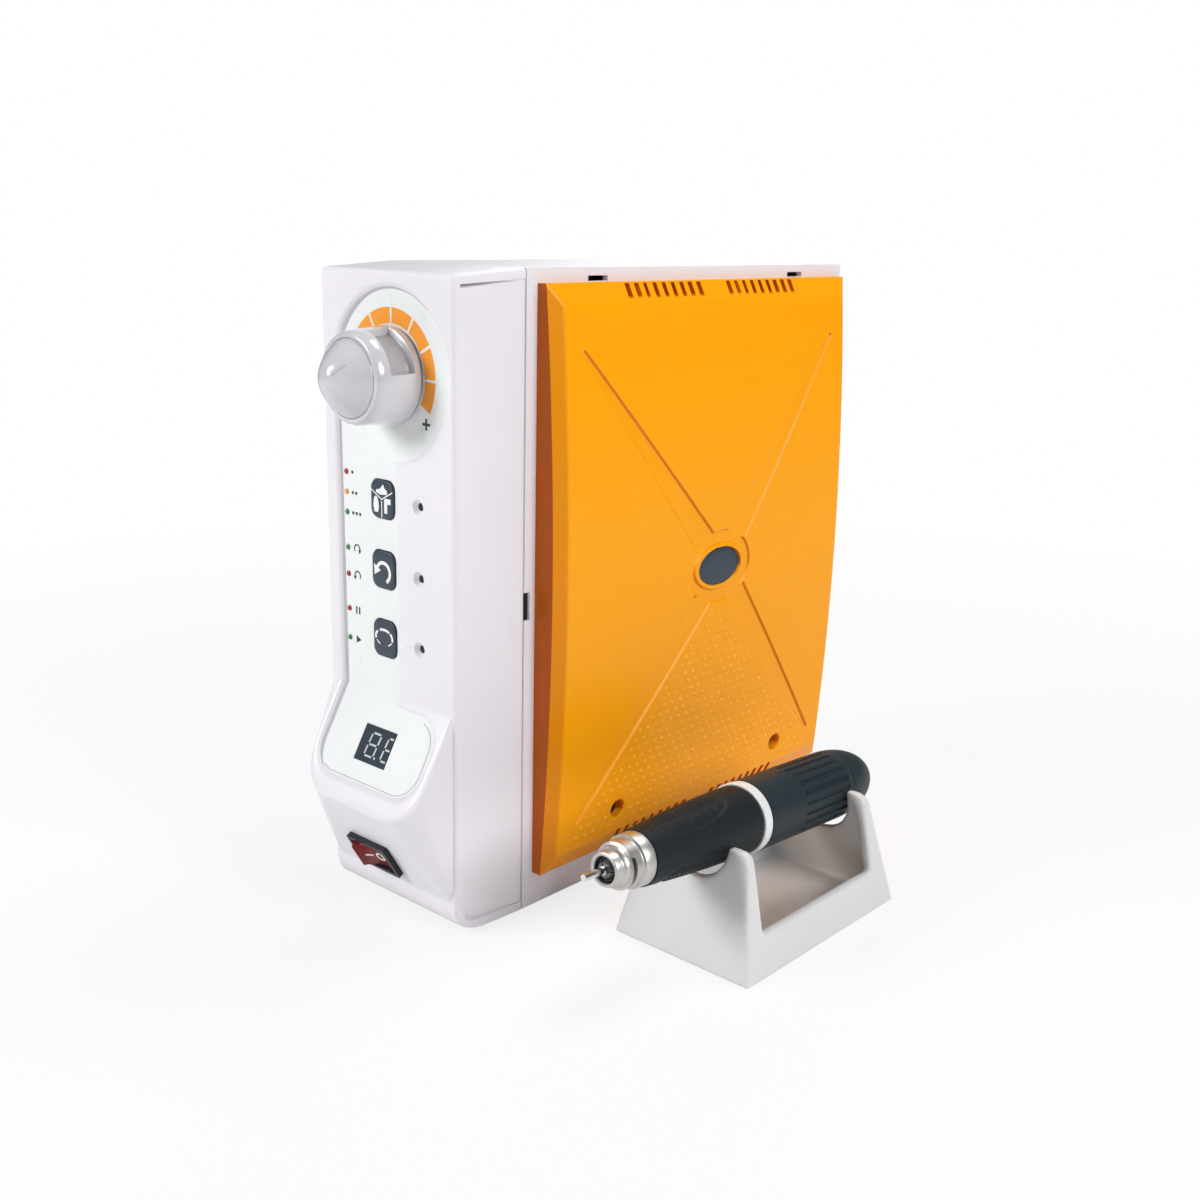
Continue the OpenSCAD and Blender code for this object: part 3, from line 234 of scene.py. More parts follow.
def softened(node, material, grain, passes):
    """A copy of a CAD node with edges worn round, as on a thick moulding, which stands for the node."""
    mesh = frame["nodes"][node].data.copy()
    made = finish_piece(node + "_look", mesh, material, BODY_OF[node], (node,), 60)
    even = made.modifiers.new("even", "REMESH")
    even.mode, even.voxel_size, even.use_smooth_shade = "VOXEL", grain * MM, True
    worn = made.modifiers.new("worn", "SMOOTH")
    worn.factor, worn.iterations = 0.5, passes


def stacked(name, solids, place, material, body, stands_for=(), sharp=40):
    """A piece of closed solids, each given as local rings of equal length and capped at both ends."""
    points, faces = [], []
    for rings in solids:
        start, n = len(points), len(rings[0])
        points += [p for ring in rings for p in ring]
        last = len(points) - n
        faces += grid_faces(len(rings), n, close_cols=True, start=start)
        faces += [list(range(start, start + n))[::-1], list(range(last, last + n))]
    piece(name, place(points), faces, material, body, stands_for, sharp)


def turned(name, profile, material, body, stands_for=(), place=on_hand, steps=128, shape=None):
    """A turned piece: (radius, height) points swept round the local Z axis, closed on itself."""
    profile = np.array(profile, float)
    phi = np.linspace(0, tau, steps, endpoint=False)[None, :]
    radius = np.repeat(profile[:, :1], steps, 1)
    height = np.repeat(profile[:, 1:], steps, 1)
    if shape:
        radius = shape(radius, height, phi + 0 * radius)
    local = np.stack([radius * np.cos(phi), radius * np.sin(phi), height], -1).reshape(-1, 3)
    faces = grid_faces(len(profile), steps, close_rows=True, close_cols=True)
    piece(name, place(local), faces, material, body, stands_for, sharp=35)


def flat_marks(name, outlines, material, body=BOX, place=on_label, lift=0.04):
    """Printed marks and painted shade lines: thin closed plates over outlines in a local plane, lifted a
    little off it.
    """
    over = lift if callable(lift) else lambda u, v: lift
    plates = []
    for outline in outlines:
        plates.append([[(u, v, over(u, v) - down) for u, v in outline] for down in (MARK_THICK, 0)])
    stacked(name, plates, place, material, body, sharp=30)


def arc_points(cx, cy, r, a0, a1, n=12):
    angles = np.radians(np.linspace(a0, a1, n))
    return [(cx + r * cos(a), cy + r * sin(a)) for a in angles]


def ring_part(cx, cy, r0, r1, a0, a1, n=12):
    return arc_points(cx, cy, r1, a0, a1, n) + arc_points(cx, cy, r0, a1, a0, n)


def oval_part(cx, cy, rx, ry, w, a0, a1):
    outer = [(cx + rx * u, cy + ry * v) for u, v in arc_points(0, 0, 1, a0, a1)]
    return outer + [(cx + (rx - w) * u, cy + (ry - w) * v) for u, v in arc_points(0, 0, 1, a1, a0)]


def bar(cx, cy, w, h):
    return [(cx + s * w / 2, cy + t * h / 2) for s, t in ((-1, -1), (1, -1), (1, 1), (-1, 1))]


def disc(cx, cy, r, n=20):
    return arc_points(cx, cy, r, 0, 360 - 360 / n, n)


def rounded_rect(cx, cy, w, h, r, n):
    """The outline of a rectangle with round corners, n points to each."""
    outline = []
    for s, t, a in ((1, 1, 0), (-1, 1, 90), (-1, -1, 180), (1, -1, 270)):
        outline += arc_points(cx + s * (w / 2 - r), cy + t * (h / 2 - r), r, a, a + 90, n)
    return outline


def at_height(outline, height):
    return [(u, v, height) for u, v in outline]


def shifted(r, h, offsets):
    """Profile points given by their offsets from a radius and a height."""
    return [(r + dr, h + dh) for dr, dh in offsets]


# Materials

def linear(r, g, b):
    def one(c):
        c /= 255
        return c / 12.92 if c <= 0.04045 else ((c + 0.055) / 1.055) ** 2.4
    return one(r), one(g), one(b), 1.0


def fill(node, values):
    for socket, value in values.items():
        node.inputs[socket].default_value = value


def new_node(tree, kind, values=(), operation=None):
    made = tree.nodes.new("ShaderNode" + kind)
    if operation:
        made.operation = operation
    fill(made, dict(values))
    return made


def join(tree, *pairs):
    for source, target in pairs:
        tree.links.new(source, target)


def surface(name, colour, rough, mottle, patch, spread=0.08, grain=0.6, bump=0.05, stretch=(1, 1, 1),
            metallic=0.0, coat=0.0, subsurface=0.0, shine=0.5):
    """A procedural surface: soft colour mottling (patch, mm), uneven gloss and a fine relief (grain, mm)."""
    made = bpy.data.materials.new(name)
    made.use_nodes = True
    tree = made.node_tree
    shader = tree.nodes["Principled BSDF"]
    fill(shader, {"Metallic": metallic, "Coat Weight": coat, "Coat Roughness": 0.12,
                  "Subsurface Weight": subsurface, "Subsurface Radius": (0.002, 0.001, 0.001),
                  "Specular IOR Level": shine})
    place = new_node(tree, "TexCoord")
    mapping = new_node(tree, "Mapping", {"Scale": stretch})
    join(tree, (place.outputs["Object"], mapping.inputs["Vector"]))

    def noise(size, detail):
        cloud = new_node(tree, "TexNoise", {"Scale": 1 / (size * MM), "Detail": detail})
        join(tree, (mapping.outputs["Vector"], cloud.inputs["Vector"]))
        return cloud.outputs["Fac"]

    ramp = new_node(tree, "ValToRGB")
    base = linear(*colour)[:3]
    for element, position, level in zip(ramp.color_ramp.elements, (0.3, 0.7), (1 - mottle, 1 + mottle)):
        element.position = position
        element.color = [min(1, c * level) for c in base] + [1]
    smoothest, roughest = max(0.03, rough - spread), min(1.0, rough + spread)
    gloss = new_node(tree, "MapRange", {"To Min": smoothest, "To Max": roughest})
    relief = new_node(tree, "Bump", {"Strength": bump, "Distance": 0.1 * MM})
    join(tree, (noise(patch, 3), ramp.inputs["Fac"]), (ramp.outputs["Color"], shader.inputs["Base Color"]),
         (noise(patch / 5, 4), gloss.inputs["Value"]), (gloss.outputs["Result"], shader.inputs["Roughness"]),
         (noise(grain, 2), relief.inputs["Height"]), (relief.outputs["Normal"], shader.inputs["Normal"]))
    return made


def paint_shade_facing(made, deep, facing):
    """Paints shade into a material: its colour turns darker on the surfaces that face the given way, standing
    in for the shade those faces get.
    """
    tree = made.node_tree
    colour = tree.nodes["Principled BSDF"].inputs["Base Color"]
    plain = colour.links[0].from_socket
    shape = new_node(tree, "NewGeometry")
    along = new_node(tree, "VectorMath", {1: facing}, "DOT_PRODUCT")
    share = new_node(tree, "MapRange", {"From Min": 0.11, "From Max": 0.75, "To Min": 0.0, "To Max": 1.0})
    share.interpolation_type = "SMOOTHSTEP"
    shade_mix = new_node(tree, "Mix")
    shade_mix.data_type = "RGBA"
    shade_sockets = [socket for socket in shade_mix.inputs if socket.type == "RGBA"]
    mixed = [socket for socket in shade_mix.outputs if socket.type == "RGBA"][0]
    shade_sockets[1].default_value = linear(*deep)
    join(tree, (shape.outputs["Normal"], along.inputs[0]), (along.outputs["Value"], share.inputs["Value"]),
         (share.outputs["Result"], shade_mix.inputs["Factor"]), (plain, shade_sockets[0]), (mixed, colour))


# Each with its name, colour, roughness, mottling and the size of its patches, then what else differs
SHELL = surface("shell_plastic", (236, 233, 239), 0.34, 0.012, 40, grain=0.5, bump=0.04, subsurface=0.04)
COVER = surface("cover_plastic", (255, 166, 0), 0.3, 0.006, 60, spread=0.04, grain=1.5, bump=0.008,
                shine=0.22)
# Painted shade: the cover's surfaces that face forward and down, its front flank, bevel and the walls of its
# engraving, are coloured a darker orange.
paint_shade_facing(COVER, (200, 94, 0), (0, -0.75, -0.66))
# Painted highlight: the dots are a lighter orange than the cover, standing in for the highlights on their
# crowns.
DOT_HIGHLIGHT_PLASTIC = surface("cover_dot_painted_highlight", (255, 178, 32), 0.22, 0.01, 20, bump=0.01)
LABEL = surface("label_film", (238, 241, 241), 0.3, 0.01, 40, grain=0.4, bump=0.02)
INK_ORANGE = surface("ink_orange", (252, 158, 40), 0.4, 0.03, 8)
# Painted shade: the grey of the lines along the label's recess wall.
SHADE_LINE_GREY = surface("painted_shade_grey", (178, 177, 184), 0.45, 0.04, 6)
INK_DARK = surface("ink_dark", (40, 48, 56), 0.45, 0.05, 4)
INK_WHITE = surface("ink_white", (240, 242, 242), 0.4, 0.03, 4)
SLATE = surface("slate_plastic", (46, 60, 74), 0.38, 0.05, 10, grain=0.3, bump=0.06)
WINDOW = surface("window_plastic", (50, 61, 72), 0.16, 0.06, 12, coat=0.4)
SEGMENT = surface("segment_grey", (196, 200, 200), 0.3, 0.05, 3)
LAMP_RED = surface("lamp_red_lens", (168, 18, 40), 0.18, 0.08, 1.5, coat=0.5)
LAMP_GREEN = surface("lamp_green_lens", (16, 128, 84), 0.18, 0.08, 1.5, coat=0.5)
LAMP_AMBER = surface("lamp_amber_lens", (250, 158, 96), 0.18, 0.08, 1.5, coat=0.5)
KNOB = surface("knob_plastic", (206, 205, 211), 0.17, 0.01, 40, spread=0.04, grain=1.5, bump=0.008, coat=0.6)
# Painted shade: the grey of the plates in the knob's pockets, which makes the pockets read darker.
POCKET_SHADE = surface("knob_pocket_painted_shade", (172, 169, 172), 0.14, 0.03, 6, spread=0.04, bump=0.01, coat=0.7)
BLACK = surface("black_plastic", (22, 28, 33), 0.38, 0.08, 8, grain=0.35, bump=0.06, shine=0.35)
RED = surface("rocker_plastic", (120, 8, 8), 0.3, 0.1, 5, spread=0.05, shine=0.3)
CRADLE = surface("cradle_plastic", (217, 218, 219), 0.36, 0.012, 40, grain=0.8, bump=0.02)
CASE = surface("case_coating", (40, 50, 56), 0.42, 0.06, 15, grain=0.18, bump=0.06, shine=0.2)
RUBBER = surface("grip_rubber_skin", (26, 33, 37), 0.5, 0.08, 12, grain=0.2, bump=0.12, shine=0.2)
STEEL = surface("turned_steel", (198, 196, 193), 0.4, 0.05, 6, spread=0.05, grain=0.25, bump=0.04,
                stretch=(0.3, 3, 0.3), metallic=1.0)
DULL = surface("collet_steel", (104, 104, 106), 0.35, 0.08, 4, metallic=0.9)
BLUED = surface("blued_steel", (34, 36, 40), 0.35, 0.08, 4, metallic=0.6)
BRIGHT = surface("polished_steel", (222, 220, 217), 0.2, 0.04, 6, spread=0.05, bump=0.02, metallic=1.0)
SATIN = surface("satin_band", (236, 238, 238), 0.36, 0.02, 5, spread=0.05, metallic=0.1, grain=0.3, bump=0.02)
ALU = surface("bare_aluminium", (186, 188, 190), 0.34, 0.06, 8, metallic=1.0, stretch=(1, 4, 1))
IRON = surface("laminated_iron", (98, 99, 102), 0.5, 0.15, 3, stretch=(6, 1, 1), metallic=0.7)
COPPER = surface("copper_wire", (190, 104, 56), 0.32, 0.12, 1.2, stretch=(1, 1, 5), metallic=0.9)
BRASS = surface("spring_brass", (196, 160, 78), 0.3, 0.08, 2, metallic=1.0)
BOARD = surface("board_mask", (20, 74, 40), 0.4, 0.2, 5, grain=0.8, bump=0.08)
BLUE = surface("blue_sleeve", (30, 52, 120), 0.3, 0.08, 10)
CARBON = surface("carbon_block", (24, 24, 25), 0.6, 0.15, 2)
FOOT = surface("foot_rubber", (52, 54, 57), 0.7, 0.1, 5, grain=0.4, bump=0.2)


# Front shell: one skin that runs from the seam round the front, with the pod, the recess and the cheeks

def pod_shape():
    """The pod as a convex hull: a root on the front face and two round corners with a soft edge."""
    bm = bmesh.new()
    root = FRONT_HALF - EDGE_R - 0.1
    for x in (-root, root):
        for z in (POD_FOOT - 1 / tan(UNDER), POD_TOP + 1 / tan(SLOPE)):
            bm.verts.new((x, 1, z))
    for t in np.radians(np.linspace(0, 90, 8)):
        r, n = POD_R - POD_SOFT * (1 - cos(t)), POD_SOFT * (sin(t) - 1)
        for side in (-1, 1):
            ring = disc(POD_X + side * (POD_HALF - POD_R), POD_R - SLOPE_LEN, r, 60)
            for p in on_slope(at_height(ring, n)):
                bm.verts.new(p)
    bmesh.ops.convex_hull(bm, input=bm.verts)
    tree = BVHTree.FromBMesh(bm)
    bm.free()
    return tree


def label_distance(x, z):
    """Distance to the label's outline, measured along the bent front face."""
    v = np.where(z > POD_TOP, z - POD_TOP, (z - POD_TOP) / cos_s)
    dial = np.hypot(x - DIAL_X, v - RUN) - DIAL_R - DIAL_FLARE
    low = -PANEL_TOP - PANEL_R
    strip = sd_rect(x, v, STRIP_LEFT + STRIP_W / 2, (low + RUN) / 2, STRIP_W, RUN - low)
    panel = sd_rect(x, v, PANEL_X, -PANEL_TOP - PANEL_H / 2, PANEL_W, PANEL_H, PANEL_R)
    return np.minimum(np.minimum(dial, strip), panel) - LABEL_GAP


def front_depth(x, z, toe):
    """How far back the front face lies at each point: pod, label recess, key pits, dimples and switch pit."""
    key_deep, key_play, dimple_deep, hole_deep, hair_deep, hair = 3.0, 0.6, 1.9, 6.0, 0.16, 0.7
    switch_deep, switch_rim, before = 12.0, 2.4, -60
    pod = pod_shape()
    y = toe.copy()
    for i, j in np.argwhere((z > POD_FOOT - 3) & (z < POD_TOP + 1)):
        hit = pod.ray_cast(Vector((x[i, j], before, z[i, j])), Vector((0, 1, 0)))[0]
        if hit is not None:
            y[i, j] = min(y[i, j], hit.y)
    floor = np.minimum(LABEL_BACK, (z - POD_TOP) * tan(SLOPE) + LABEL_BACK / cos_s)
    cut = np.clip(-label_distance(x, z) / LABEL_WALL, 0, 1) ** 1.5
    y = y * (1 - cut) + floor * cut
    left, right = STRIP_LEFT + STRIP_W + 0.4, TRIM_X - DIMPLE_R
    for kz in KEY_Z:
        pit = sd_rect(x, z, KEY_X, kz, KEY_W + key_play, KEY_H + key_play, KEY_R + key_play / 2)
        y += key_deep * within(pit, 0.5)
        r = np.hypot(x - TRIM_X, z - kz)
        y += dimple_deep * np.clip((DIMPLE_R - r) / (DIMPLE_R - TRIM_R), 0, 1)
        y += hole_deep * smooth((TRIM_R + 0.12 - r) / 0.24)
        y += hair_deep * within(sd_rect(x, z, (left + right) / 2, kz, right - left, hair), hair / 2)
    pit = sd_rect(x, (z - POD_FOOT) / cos_u, SWITCH_X, SWITCH_UP, BEZEL_W - switch_rim, BEZEL_H - switch_rim)
    return y + switch_deep * within(pit, 0.5) * (z < POD_RIDGE)


def graded(low, high, step, fine_zones):
    """Stations from low to high, closer together inside the fine zones."""
    at, stations = low, [low]
    while at < high - 1e-6:
        near = any(a - step <= at <= b for a, b in fine_zones)
        at = min(high, at + (FINE if near else step))
        stations.append(at)
    return np.array(stations)


def cheek(z, toe, inset):
    """X and Y of the shell's right side, from the seam to the front edge: a sunken field inside a rim."""
    back, bend = SEAM - SEAM_GAP, 7.0
    run = graded(EDGE_R, back - 0.6, 1.3, [(RIM - 0.6, RIM + 1.2)])[::-1]
    y = np.concatenate([[back, back - 0.25], run])[None, :]
    edge = np.zeros_like(y)
    edge[0, :2] = 0.35, 0.1
    y = np.maximum(y, np.minimum(toe + EDGE_R, back - 1))
    z = z + 0 * y
    half = FRONT_HALF + DRAFT * np.clip((y - EDGE_R) / (SEAM - EDGE_R), 0, 1)
    sunk = FRONT_HALF - CHEEK + (SIDE - 0.2 - FRONT_HALF + CHEEK) * (y - RIM) / (SEAM + 1 - RIM)
    d = np.maximum(np.maximum(RIM - y, z - CHEEK_TOP), CHEEK_LOW - z)
    corner = np.hypot(np.maximum(RIM + bend - y, 0), np.maximum(CHEEK_LOW + bend - z, 0)) - bend
    d = np.where((y < RIM + bend) & (z < CHEEK_LOW + bend), corner, d)
    under_rim = z - CHEEK_TOP >= np.maximum(RIM - y, CHEEK_LOW - z)
    forward = 1 - np.clip((y - RIM) / (SEAM - RIM), 0, 1)
    line_half = np.where(under_rim, 0.2 + 0.6 * forward, 0.22)
    line_deep = np.where(under_rim, 0.4 + 2.6 * forward, 0.35)
    line = line_deep * np.clip(1 - np.abs(d + line_half + 0.1) / line_half, 0, 1)
    return half - inset - edge - np.maximum(half - sunk, 0) * within(d, 0.7) - line, y


def front_shell():
    dimple = DIMPLE_R + FINE
    zones = [(kz - dimple, kz + dimple) for kz in KEY_Z]
    zones += [(CHEEK_LOW - 0.4, CHEEK_LOW + 1.0), (CHEEK_TOP - 1.8, CHEEK_TOP + 0.4)]
    flat = graded(LIFT, FRONT_TOP - EDGE_R, 0.46, zones)
    turn = np.radians([22, 45, 67, 90])
    z = np.concatenate([flat, FRONT_TOP - EDGE_R + EDGE_R * np.sin(turn)])[:, None]
    inset = np.concatenate([0 * flat, EDGE_R * (1 - np.cos(turn))])[:, None]
    drop = np.clip(TOE_R - (z - LIFT), 0, TOE_R)
    toe = TOE_R - np.sqrt(TOE_R ** 2 - drop ** 2)
    lean = np.clip((z - LEAN_FROM) / (FRONT_TOP - LEAN_FROM), 0, 1) * DRAFT / SEAM

    x_side, y_side = cheek(z, toe, inset)
    a = np.radians(np.linspace(0, 90, 8)[1:-1])[None, :]
    x_arc = FRONT_HALF - EDGE_R + (EDGE_R - inset) * np.cos(a)
    y_arc = toe + EDGE_R - (EDGE_R - inset) * np.sin(a)
    holes = [(TRIM_X - dimple, TRIM_X + dimple)]
    across = graded(EDGE_R - FRONT_HALF, FRONT_HALF - EDGE_R, 0.44, holes)[::-1]
    x_front = across[None, :] + 0 * z
    y_front = front_depth(x_front, z + 0 * x_front, toe + 0 * x_front) + inset

    x = np.hstack([x_side, x_arc, x_front, -x_arc[:, ::-1], -x_side[:, ::-1]])
    y = np.hstack([y_side, y_arc, y_front, y_arc[:, ::-1], y_side[:, ::-1]])
    points = np.stack([x, y, z + lean * y], -1)
    at = np.arange(x.size).reshape(x.shape)
    faces = grid_faces(*x.shape)
    faces += [at[0, ::-1].tolist(), at[-1].tolist(), at[:, 0].tolist() + at[::-1, -1].tolist()]
    piece("front_shell_skin", points, faces, SHELL, BOX, ("front_shell",), sharp=38)


# Side cover: a bulged lid with bevelled edges, vents, sunken arms and a dotted field

def arm(side, z_end, up):
    return [(COVER_Y + side * (ARM_Y + ARM_TIP), COVER_Z + z_end - up * ARM_TIP),
            (COVER_Y + side * (ARM_Y - ARM_TIP), COVER_Z + z_end + up * ARM_TIP),
            (BADGE_Y + side * BADGE_W * 0.17, BADGE_Z + up * BADGE_H * 0.9),
            (BADGE_Y + side * BADGE_W * 0.61, BADGE_Z + up * BADGE_H * 0.6)]


def arms_distance(y, z):
    d = sd_ellipse(y, z, BADGE_Y, BADGE_Z, BADGE_W / 2 + 6, BADGE_H / 2 + 6.8)
    for side in (-1, 1):
        for z_end, up in ((ARM_UP, 1), (ARM_DOWN, -1)):
            d = np.minimum(d, sd_polygon(y, z, arm(side, z_end, up)))
    return d


def soft_min(a, b, k):
    h = np.clip(0.5 + 0.5 * (b - a) / k, 0, 1)
    return b * (1 - h) + a * h - k * h * (1 - h)


def cover_face(y, z):
    """Height of the cover's plain face over the side of the box."""
    bulge = COVER_BULGE * (1 - ((z - COVER_Z) / COVER_HALF) ** 2)
    along = np.minimum(y - COVER_Y0, COVER_Y1 - y) / BEVEL_Y
    across = np.minimum(z - COVER_Z0, COVER_Z1 - z) / BEVEL_Z
    ramp = soft_min(soft_min(along, across, 0.12), np.ones_like(along), 0.16)
    return COVER_EDGE + bulge + BEVEL_X * ramp


def cover_height(y, z):
    """Height of the cover's face with its engraving, badge seat, vents and screw holes."""
    seat_rise, seat_deep, sink_r, sink_deep, hole_r, hole_deep = 0.75, 1.5, 4.3, 0.5, 3.3, 5.5
    h = cover_face(y, z) - ENGRAVE * within(arms_distance(y, z) - 0.1, 0.5)
    badge = sd_ellipse(y, z, BADGE_Y, BADGE_Z, BADGE_W / 2, BADGE_H / 2)
    h += seat_rise * within(badge - 1.9, 0.6)
    h -= seat_deep * within(badge - 0.1, 0.25)
    for end, long in VENT_ROWS:
        for group in (-1, 1):
            for i in range(VENT_N):
                c = COVER_Y + group * VENT_OFF + (i - (VENT_N - 1) / 2) * VENT_PITCH
                h -= VENT_DEEP * within(sd_rect(y, z, c, end, VENT_W, long, 0.3), 0.35)
    for side in (-1, 1):
        hole = np.hypot(y - COVER_Y - side * COVER_SCREW_OFF, z - COVER_SCREW_Z)
        h -= sink_deep * smooth((sink_r - hole) / 1.0) + hole_deep * smooth((hole_r - hole) / 0.5)
    return h


def side_cover():
    step = 0.42
    y = np.linspace(COVER_Y0, COVER_Y1, int((COVER_Y1 - COVER_Y0) / step) + 1)[None, :]
    z = np.linspace(COVER_Z0, COVER_Z1, int((COVER_Z1 - COVER_Z0) / step) + 1)[:, None]
    y, z = y + 0 * z, z + 0 * y
    h = np.pad(cover_height(y, z), 1)
    y, z = np.pad(y, 1, mode="edge"), np.pad(z, 1, mode="edge")
    at = np.arange(y.size).reshape(y.shape)
    rim = np.concatenate([at[0], at[1:, -1], at[-1, -2::-1], at[-2:0:-1, 0]])
    faces = grid_faces(*y.shape) + [rim[::-1].tolist()]
    points = on_side(np.stack([y, z, h], -1))
    piece("side_cover_skin", points, faces, COVER, BOX, ("side_cover",), sharp=50)


def cover_dots():
    """Small raised dots that fill the field between the lower arms."""
    apex, hole_clear, arm_clear = BADGE_Z - 10, 6, 1.4
    rings = ((-0.1, 1.0), (0.55, 0.8), (0.9, 0.42))
    dots, row = [], 0
    z = COVER_Z0 + BEVEL_Z + 4
    while z < BADGE_Z - 17:
        reach = ARM_Y * (apex - z) / (apex - COVER_Z - ARM_DOWN) - 3
        n = int(reach / DOT_PITCH)
        for i in range(-n, n + 1):
            off = (i + 0.5 * (row % 2)) * DOT_PITCH
            at = COVER_Y + off, z
            to_hole = min(hypot(off - s * COVER_SCREW_OFF, z - COVER_SCREW_Z) for s in (-1, 1))
            if abs(off) > reach or to_hole < hole_clear or arms_distance(*at) < arm_clear:
                continue
            base = cover_face(*at)
            dot = [at_height(disc(*at, share * DOT_R, 8), base + level * DOT_H) for level, share in rings]
            dots.append(dot)
        z += DOT_PITCH * 0.75
        row += 1
    stacked("cover_dots", dots, on_side, DOT_HIGHLIGHT_PLASTIC, BOX, sharp=80)


def cover_badge():
    """The bare oval plate in the middle of the cover, slightly crowned."""
    top = cover_face(BADGE_Y, BADGE_Z) - 0.9
    rings = []
    for share, lift in ((1.0, -0.8), (1.0, 0.0), (0.97, 0.12), (0.7, 0.25), (0.35, 0.32)):
        a, b = share * BADGE_W / 2, share * BADGE_H / 2
        rings.append([(BADGE_Y + a * u, BADGE_Z + b * v, top + lift) for u, v in disc(0, 0, 1, 72)])
    stacked("badge_plate", [rings], on_side, SLATE, BOX, ("cover_badge",))


# Controls on the front

def knob():
    """The speed knob: a body with two pockets, grey plates in them that paint the pockets' shade, a domed cap
    and its pointer.
    """
    rim = KNOB_GAP - LABEL_DEPTH
    pocket_half, pocket_low, pocket_high, pocket_deep = radians(36), rim + 2.7, KNOB_SKIRT - 0.4, 2.3

    def pocket(radius, height, phi):
        off = np.abs((phi - POINTER + pi / 2) % pi - pi / 2)
        side = smooth((pocket_half - off) * KNOB_R / 0.6)
        ends = smooth((height - pocket_low) / 0.5) * smooth((pocket_high - height) / 0.5)
        return radius - pocket_deep * side * ends * (radius > KNOB_R - 2)

    bore, hub = 3.0, 11.0
    edge, brow, rise = KNOB_R - KNOB_TAPER, CAP_R + 0.9, KNOB_TOP - KNOB_SKIRT
    skirt = np.linspace(rim + 0.4, KNOB_SKIRT - 0.1, 44)
    bend = np.radians(np.linspace(4, 86, 12))
    body = [(bore, rim + 2.6), (hub, rim + 2.6), (hub + 0.5, rim), (KNOB_R - 0.4, rim)]
    body += [(KNOB_R - KNOB_TAPER * max(0, h) / KNOB_SKIRT, h) for h in skirt]
    body += [(brow + (edge - brow) * cos(a), KNOB_SKIRT + rise * sin(a)) for a in bend]
    body += [(brow - 0.2, KNOB_TOP), (CAP_R + 0.2, KNOB_TOP)]
    body += [(CAP_R + 0.15, KNOB_TOP - 0.4), (bore, KNOB_TOP - 1.2)]
    turned("knob_body_skin", body, KNOB, "speed_knob", ("knob_body",), on_dial, 256, pocket)

    # Painted shade: grey plates on the pockets' floors.
    low, high, pads = pocket_low + 0.5, pocket_high - 0.5, []
    for centre in (POINTER, POINTER + pi):
        pads.append([])
        for a in np.linspace(centre - pocket_half + 0.05, centre + pocket_half - 0.05, 15):
            section = []
            for up, h in ((-0.4, low), (0.1, low), (0.1, high), (-0.4, high)):
                r = KNOB_R - KNOB_TAPER * h / KNOB_SKIRT - pocket_deep + up
                section.append((r * cos(a), r * sin(a), h))
            pads[-1].append(section)
    stacked("knob_pocket_shade", pads, on_dial, POCKET_SHADE, "speed_knob")

    dome = [(0.01, KNOB_TOP - 1.1), (CAP_R - 0.1, KNOB_TOP - 1.1), (CAP_R, KNOB_TOP - 0.9)]
    dome += [(CAP_R * t + 0.01, KNOB_TOP + CAP_H * (1 - t * t)) for t in np.linspace(1, 0, 40)]
    turned("knob_cap_skin", dome, KNOB, "speed_knob", ("knob_cap",), on_dial)

    nib, nib_from, nib_to, nib_high, nib_foot, nib_half = [], 0.24, 0.66, 0.75, 0.75, 0.35
    for t in np.linspace(nib_from, nib_to, 16):
        slope = atan2(2 * CAP_H * t, CAP_R)
        fall = max(0.0, 1 - (t - nib_from) / (nib_to - nib_from)) ** 0.6
        lift = nib_high * fall * min(1, (t - 0.2) / 0.05)
        section = []
        for w, up in ((-nib_foot, -0.3), (-nib_half, lift), (nib_half, lift), (nib_foot, -0.3)):
            h = KNOB_TOP + CAP_H * (1 - t * t) + up * cos(slope)
            section.append((CAP_R * t + up * sin(slope), w, h))
        nib.append(section)
    stacked("knob_nib", [nib], on_pointer, KNOB, "speed_knob", sharp=60)


def key_pad(node, z, marks):
    """A soft key: a rounded pad with a crowned top, and its white marks."""
    profile = ((0.0, -3.4 - KEY_PROUD), (0.0, -0.35), (0.12, -0.12), (0.4, 0.0), (2.2, 0.1), (4.2, 0.12))
    rings = []
    for inset, lift in profile:
        outline = rounded_rect(KEY_X, z, KEY_W - 2 * inset, KEY_H - 2 * inset, max(KEY_R - inset, 0.6), 8)
        rings.append(at_height(outline, KEY_PROUD + lift))
    stacked(node + "_pad", [rings], on_label, SLATE, BODY_OF[node], (node,))
    marks = [[(KEY_X + u, z + v) for u, v in m] for m in marks]
    flat_marks(node + "_marks", marks, INK_WHITE, BODY_OF[node], lift=KEY_PROUD + 0.16)


def turn_arrow(cx, cy, r, w, a0, a1, head):
    """A curved arrow whose head is at angle a1."""
    tip, half = radians(a1), head * 0.62
    way = head if a1 > a0 else -head
    nx, ny = cos(tip), sin(tip)
    point = [(cx + (r + half) * nx, cy + (r + half) * ny), (cx + r * nx - way * ny, cy + r * ny + way * nx),
             (cx + (r - half) * nx, cy + (r - half) * ny)]
    return [ring_part(cx, cy, r - w / 2, r + w / 2, a0, a1, 16), point]


